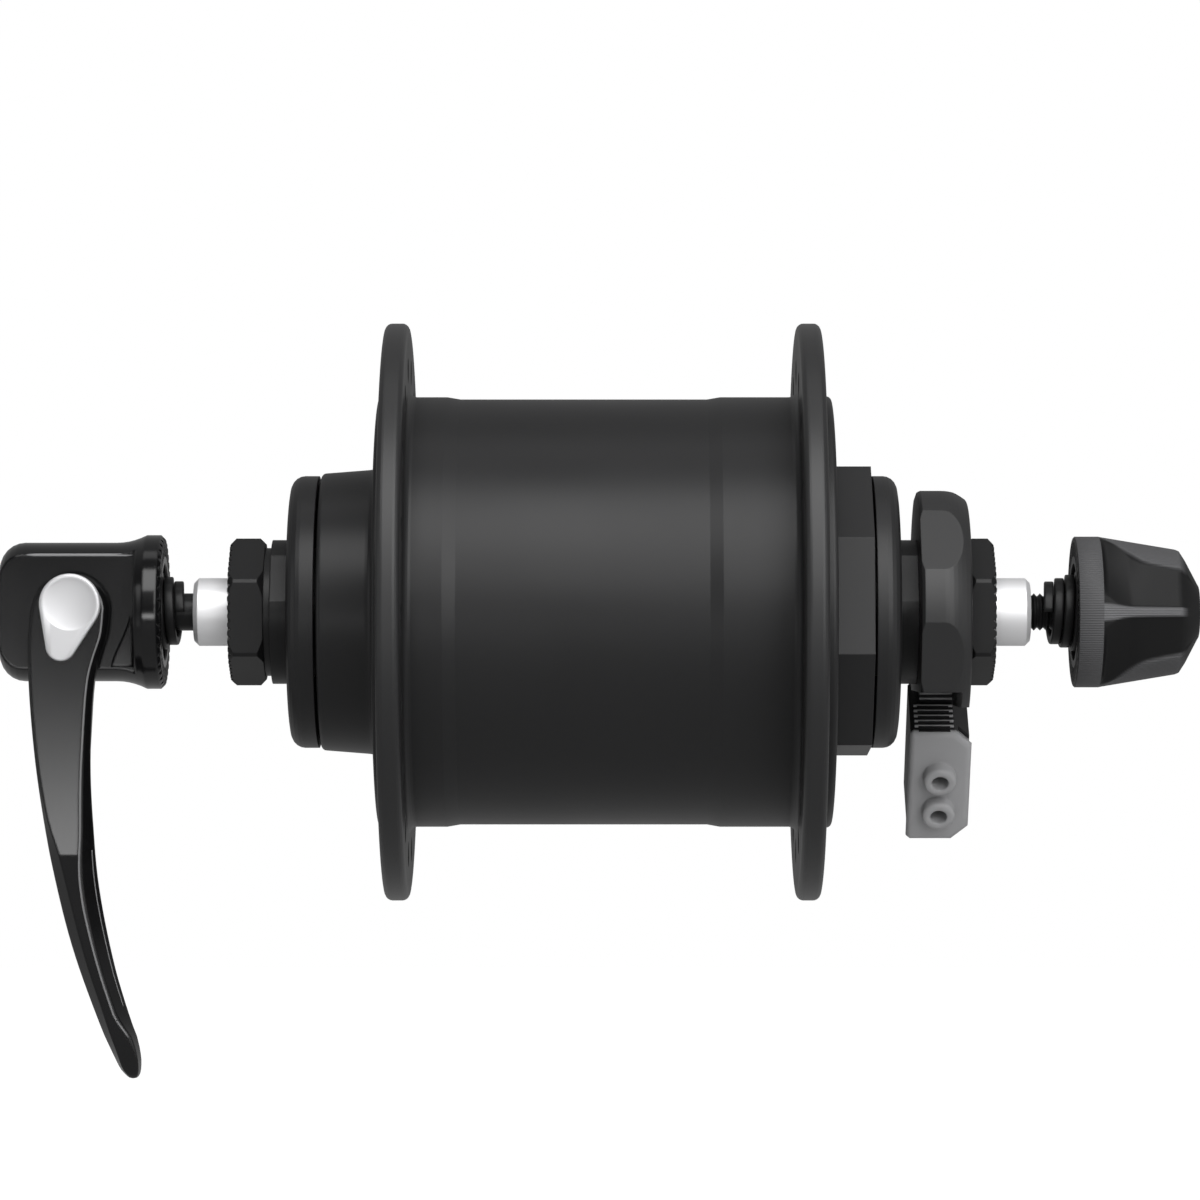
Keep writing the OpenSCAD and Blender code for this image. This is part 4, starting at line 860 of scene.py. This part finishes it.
class HUB_OT_connector(bpy.types.Operator):
    """Rounded connector cap with two wire bosses, and light-grey crests on the grip ribs as painted highlight
    lines.
    """

    bl_idname = "hub.connector"
    bl_label = "Connector"

    def execute(self, context):
        """Builds the cap and the crests in the leaned frame of the connector."""
        self.build_cap(context)
        # Crests on the cover's ribs and steps on the root block, light grey as painted highlight lines
        ribs = [((40.1, y + 0.02, -16.2), (45.3, y + 0.3, -15.86)) for y in (-4.0, -2.9, -1.8, -0.7, 0.4)]
        self.build_crests(context, "grip_crests", "connector", ribs)
        steps = [((40.9, 1.15, z - 0.11), (45.3, 1.5, z + 0.11)) for z in (-15.35, -14.5)]
        self.build_crests(context, "root_crests", "axle_set", steps)
        return {"FINISHED"}

    def lean(self, mesh):
        """Turns a mesh made upright into the frame of the connector."""
        way = JOINTS["connector_unplug"]["axis"]
        turn = Matrix.Rotation(math.atan2(way[1], -way[2]), 3, "X")
        bmesh.ops.rotate(mesh, verts=mesh.verts, cent=(0.0, 0.0, 0.0), matrix=turn)

    def build_cap(self, context):
        """A rounded plate whose bosses and bores run on from its front."""
        mesh = bmesh.new()
        front, step, back = -5.6, -4.72, -2.72
        rings = [self.outline(mesh, front, -15.95, -0.2), self.outline(mesh, step, -15.95, -0.2),
                 self.outline(mesh, step, -16.9, 0.03), self.outline(mesh, back, -16.9, 0.03)]
        rim = list(rings[0])
        loft(mesh, rings)
        roots = [self.boss(mesh, front, z) for z in BOSS_LEVELS]
        rounded(mesh, rim, context.scene.hub_pieces.cap_round / MM, 6)
        flat = [face for face in mesh.faces if all(abs(vert.co.y - front) < 1e-4 for vert in face.verts)]
        border = list(flat[0].verts)
        bmesh.ops.delete(mesh, geom=flat, context="FACES_ONLY")
        self.close_front(mesh, border, *roots)
        bmesh.ops.recalc_face_normals(mesh, faces=mesh.faces)
        crisp_edges(mesh, math.radians(35.0))
        bmesh.ops.scale(mesh, verts=mesh.verts, vec=(MM, MM, MM))
        self.lean(mesh)
        piece = finished_piece(context, mesh, "wire_cap", "connector", "grey_plastic", "Grey plastic",
                               "connector_cap")
        even_shading(piece)

    def close_front(self, mesh, border, upper, lower):
        """Closes the plate round the roots of its two bosses with three faces."""
        high, low = BOSS_LEVELS
        top = sorted((v for v in border if v.co.z > high - 0.01), key=lambda v: round_from(v, high))
        bottom = sorted((v for v in border if v.co.z < low + 0.01), key=lambda v: round_from(v, low))
        half = ROUND_STEPS // 2
        mesh.faces.new(top + upper[half::-1])
        mesh.faces.new(bottom + lower[half:] + lower[:1])
        left = bottom[-1:] + top[-1:]
        right = top[:1] + bottom[:1]
        mesh.faces.new(left + upper[half:] + upper[:1] + right + lower[:half + 1])

    def outline(self, mesh, y, top, inset):
        """The outline of the connector in millimetres at depth y, with its cut corners."""
        left, right, end = 39.6 + inset, 47.5 - inset, -33.95 + inset
        high, low = BOSS_LEVELS
        spots = ((left + 0.5, top), (right - 2.2, top), (right, top - 2.2), (right, high), (right, low),
                 (right, end + 2.2), (right - 2.2, end), (left + 0.5, end), (left, end + 0.5), (left, low),
                 (left, high), (left, top - 0.5))
        return closed_ring(mesh, [Vector((x, y, z)) for x, z in spots])

    def boss(self, mesh, front, z):
        """One wire boss in millimetres, with a rounded rim and a bore; gives the ring of its root."""
        spots = [(2.2, front), (2.2, -6.9)]
        bends = [k * math.pi / 10 for k in (1, 2, 3, 4, 5)]
        spots += [(1.7 + 0.5 * math.cos(a), -6.9 - 0.5 * math.sin(a)) for a in bends]
        spots += [(1.25, -7.4), (1.14, -7.36), (1.1, -7.25), (1.1, -2.9)]
        rings = [circle(mesh, BOSS_X, z, r, y, ROUND_STEPS) for r, y in spots]
        root = {vert for edge in rings[0] for vert in edge.verts}
        loft(mesh, rings, ends=(-1,))
        return sorted(root, key=lambda v: (math.atan2(v.co.z - z, v.co.x - BOSS_X) + 0.01) % math.tau)

    def build_crests(self, context, name, body, bars):
        """Thin light-grey bars with softened edges, one on each rib, as painted highlight lines."""
        mesh = bmesh.new()
        for low, high in bars:
            centre = (Vector(low) + Vector(high)) * 0.5 * MM
            size = (Vector(high) - Vector(low)) * MM
            bmesh.ops.create_cube(mesh, size=1.0, matrix=Matrix.LocRotScale(centre, None, size))
        rounded(mesh, list(mesh.edges), 0.06 * MM, 2)
        self.lean(mesh)
        piece = finished_piece(context, mesh, name, body, "black_plastic", "Crest highlight plastic")
        even_shading(piece)


class HUB_PT_panel(bpy.types.Panel):
    """Lists the steps in the sidebar."""

    bl_label = "Hub Dynamo"
    bl_idname = "HUB_PT_panel"
    bl_space_type = "VIEW_3D"
    bl_region_type = "UI"
    bl_category = "Hub Dynamo"

    def draw(self, context):
        """Draws one button for each step."""
        for step in STEPS:
            self.layout.operator(step.bl_idname)


STEPS = (HUB_OT_stage, HUB_OT_finishes, HUB_OT_lever, HUB_OT_cam_head, HUB_OT_housing, HUB_OT_springs,
         HUB_OT_adjusting_nut, HUB_OT_connector)
CLASSES = (StageSettings, FinishSettings, PieceSettings, *STEPS, HUB_PT_panel)


def register():
    """Adds the classes and the settings."""
    for part in CLASSES:
        bpy.utils.register_class(part)
    bpy.types.Scene.hub_stage = bpy.props.PointerProperty(type=StageSettings)
    bpy.types.Scene.hub_finish = bpy.props.PointerProperty(type=FinishSettings)
    bpy.types.Scene.hub_pieces = bpy.props.PointerProperty(type=PieceSettings)


def unregister():
    """Takes the settings and the classes away again."""
    del bpy.types.Scene.hub_pieces
    del bpy.types.Scene.hub_finish
    del bpy.types.Scene.hub_stage
    for part in reversed(CLASSES):
        bpy.utils.unregister_class(part)


def main():
    """Runs every step in order."""
    register()
    bpy.ops.hub.stage()
    bpy.ops.hub.finishes()
    bpy.ops.hub.lever()
    bpy.ops.hub.cam_head()
    bpy.ops.hub.housing()
    bpy.ops.hub.springs()
    bpy.ops.hub.adjusting_nut()
    bpy.ops.hub.connector()


if __name__ == "__main__":
    main()
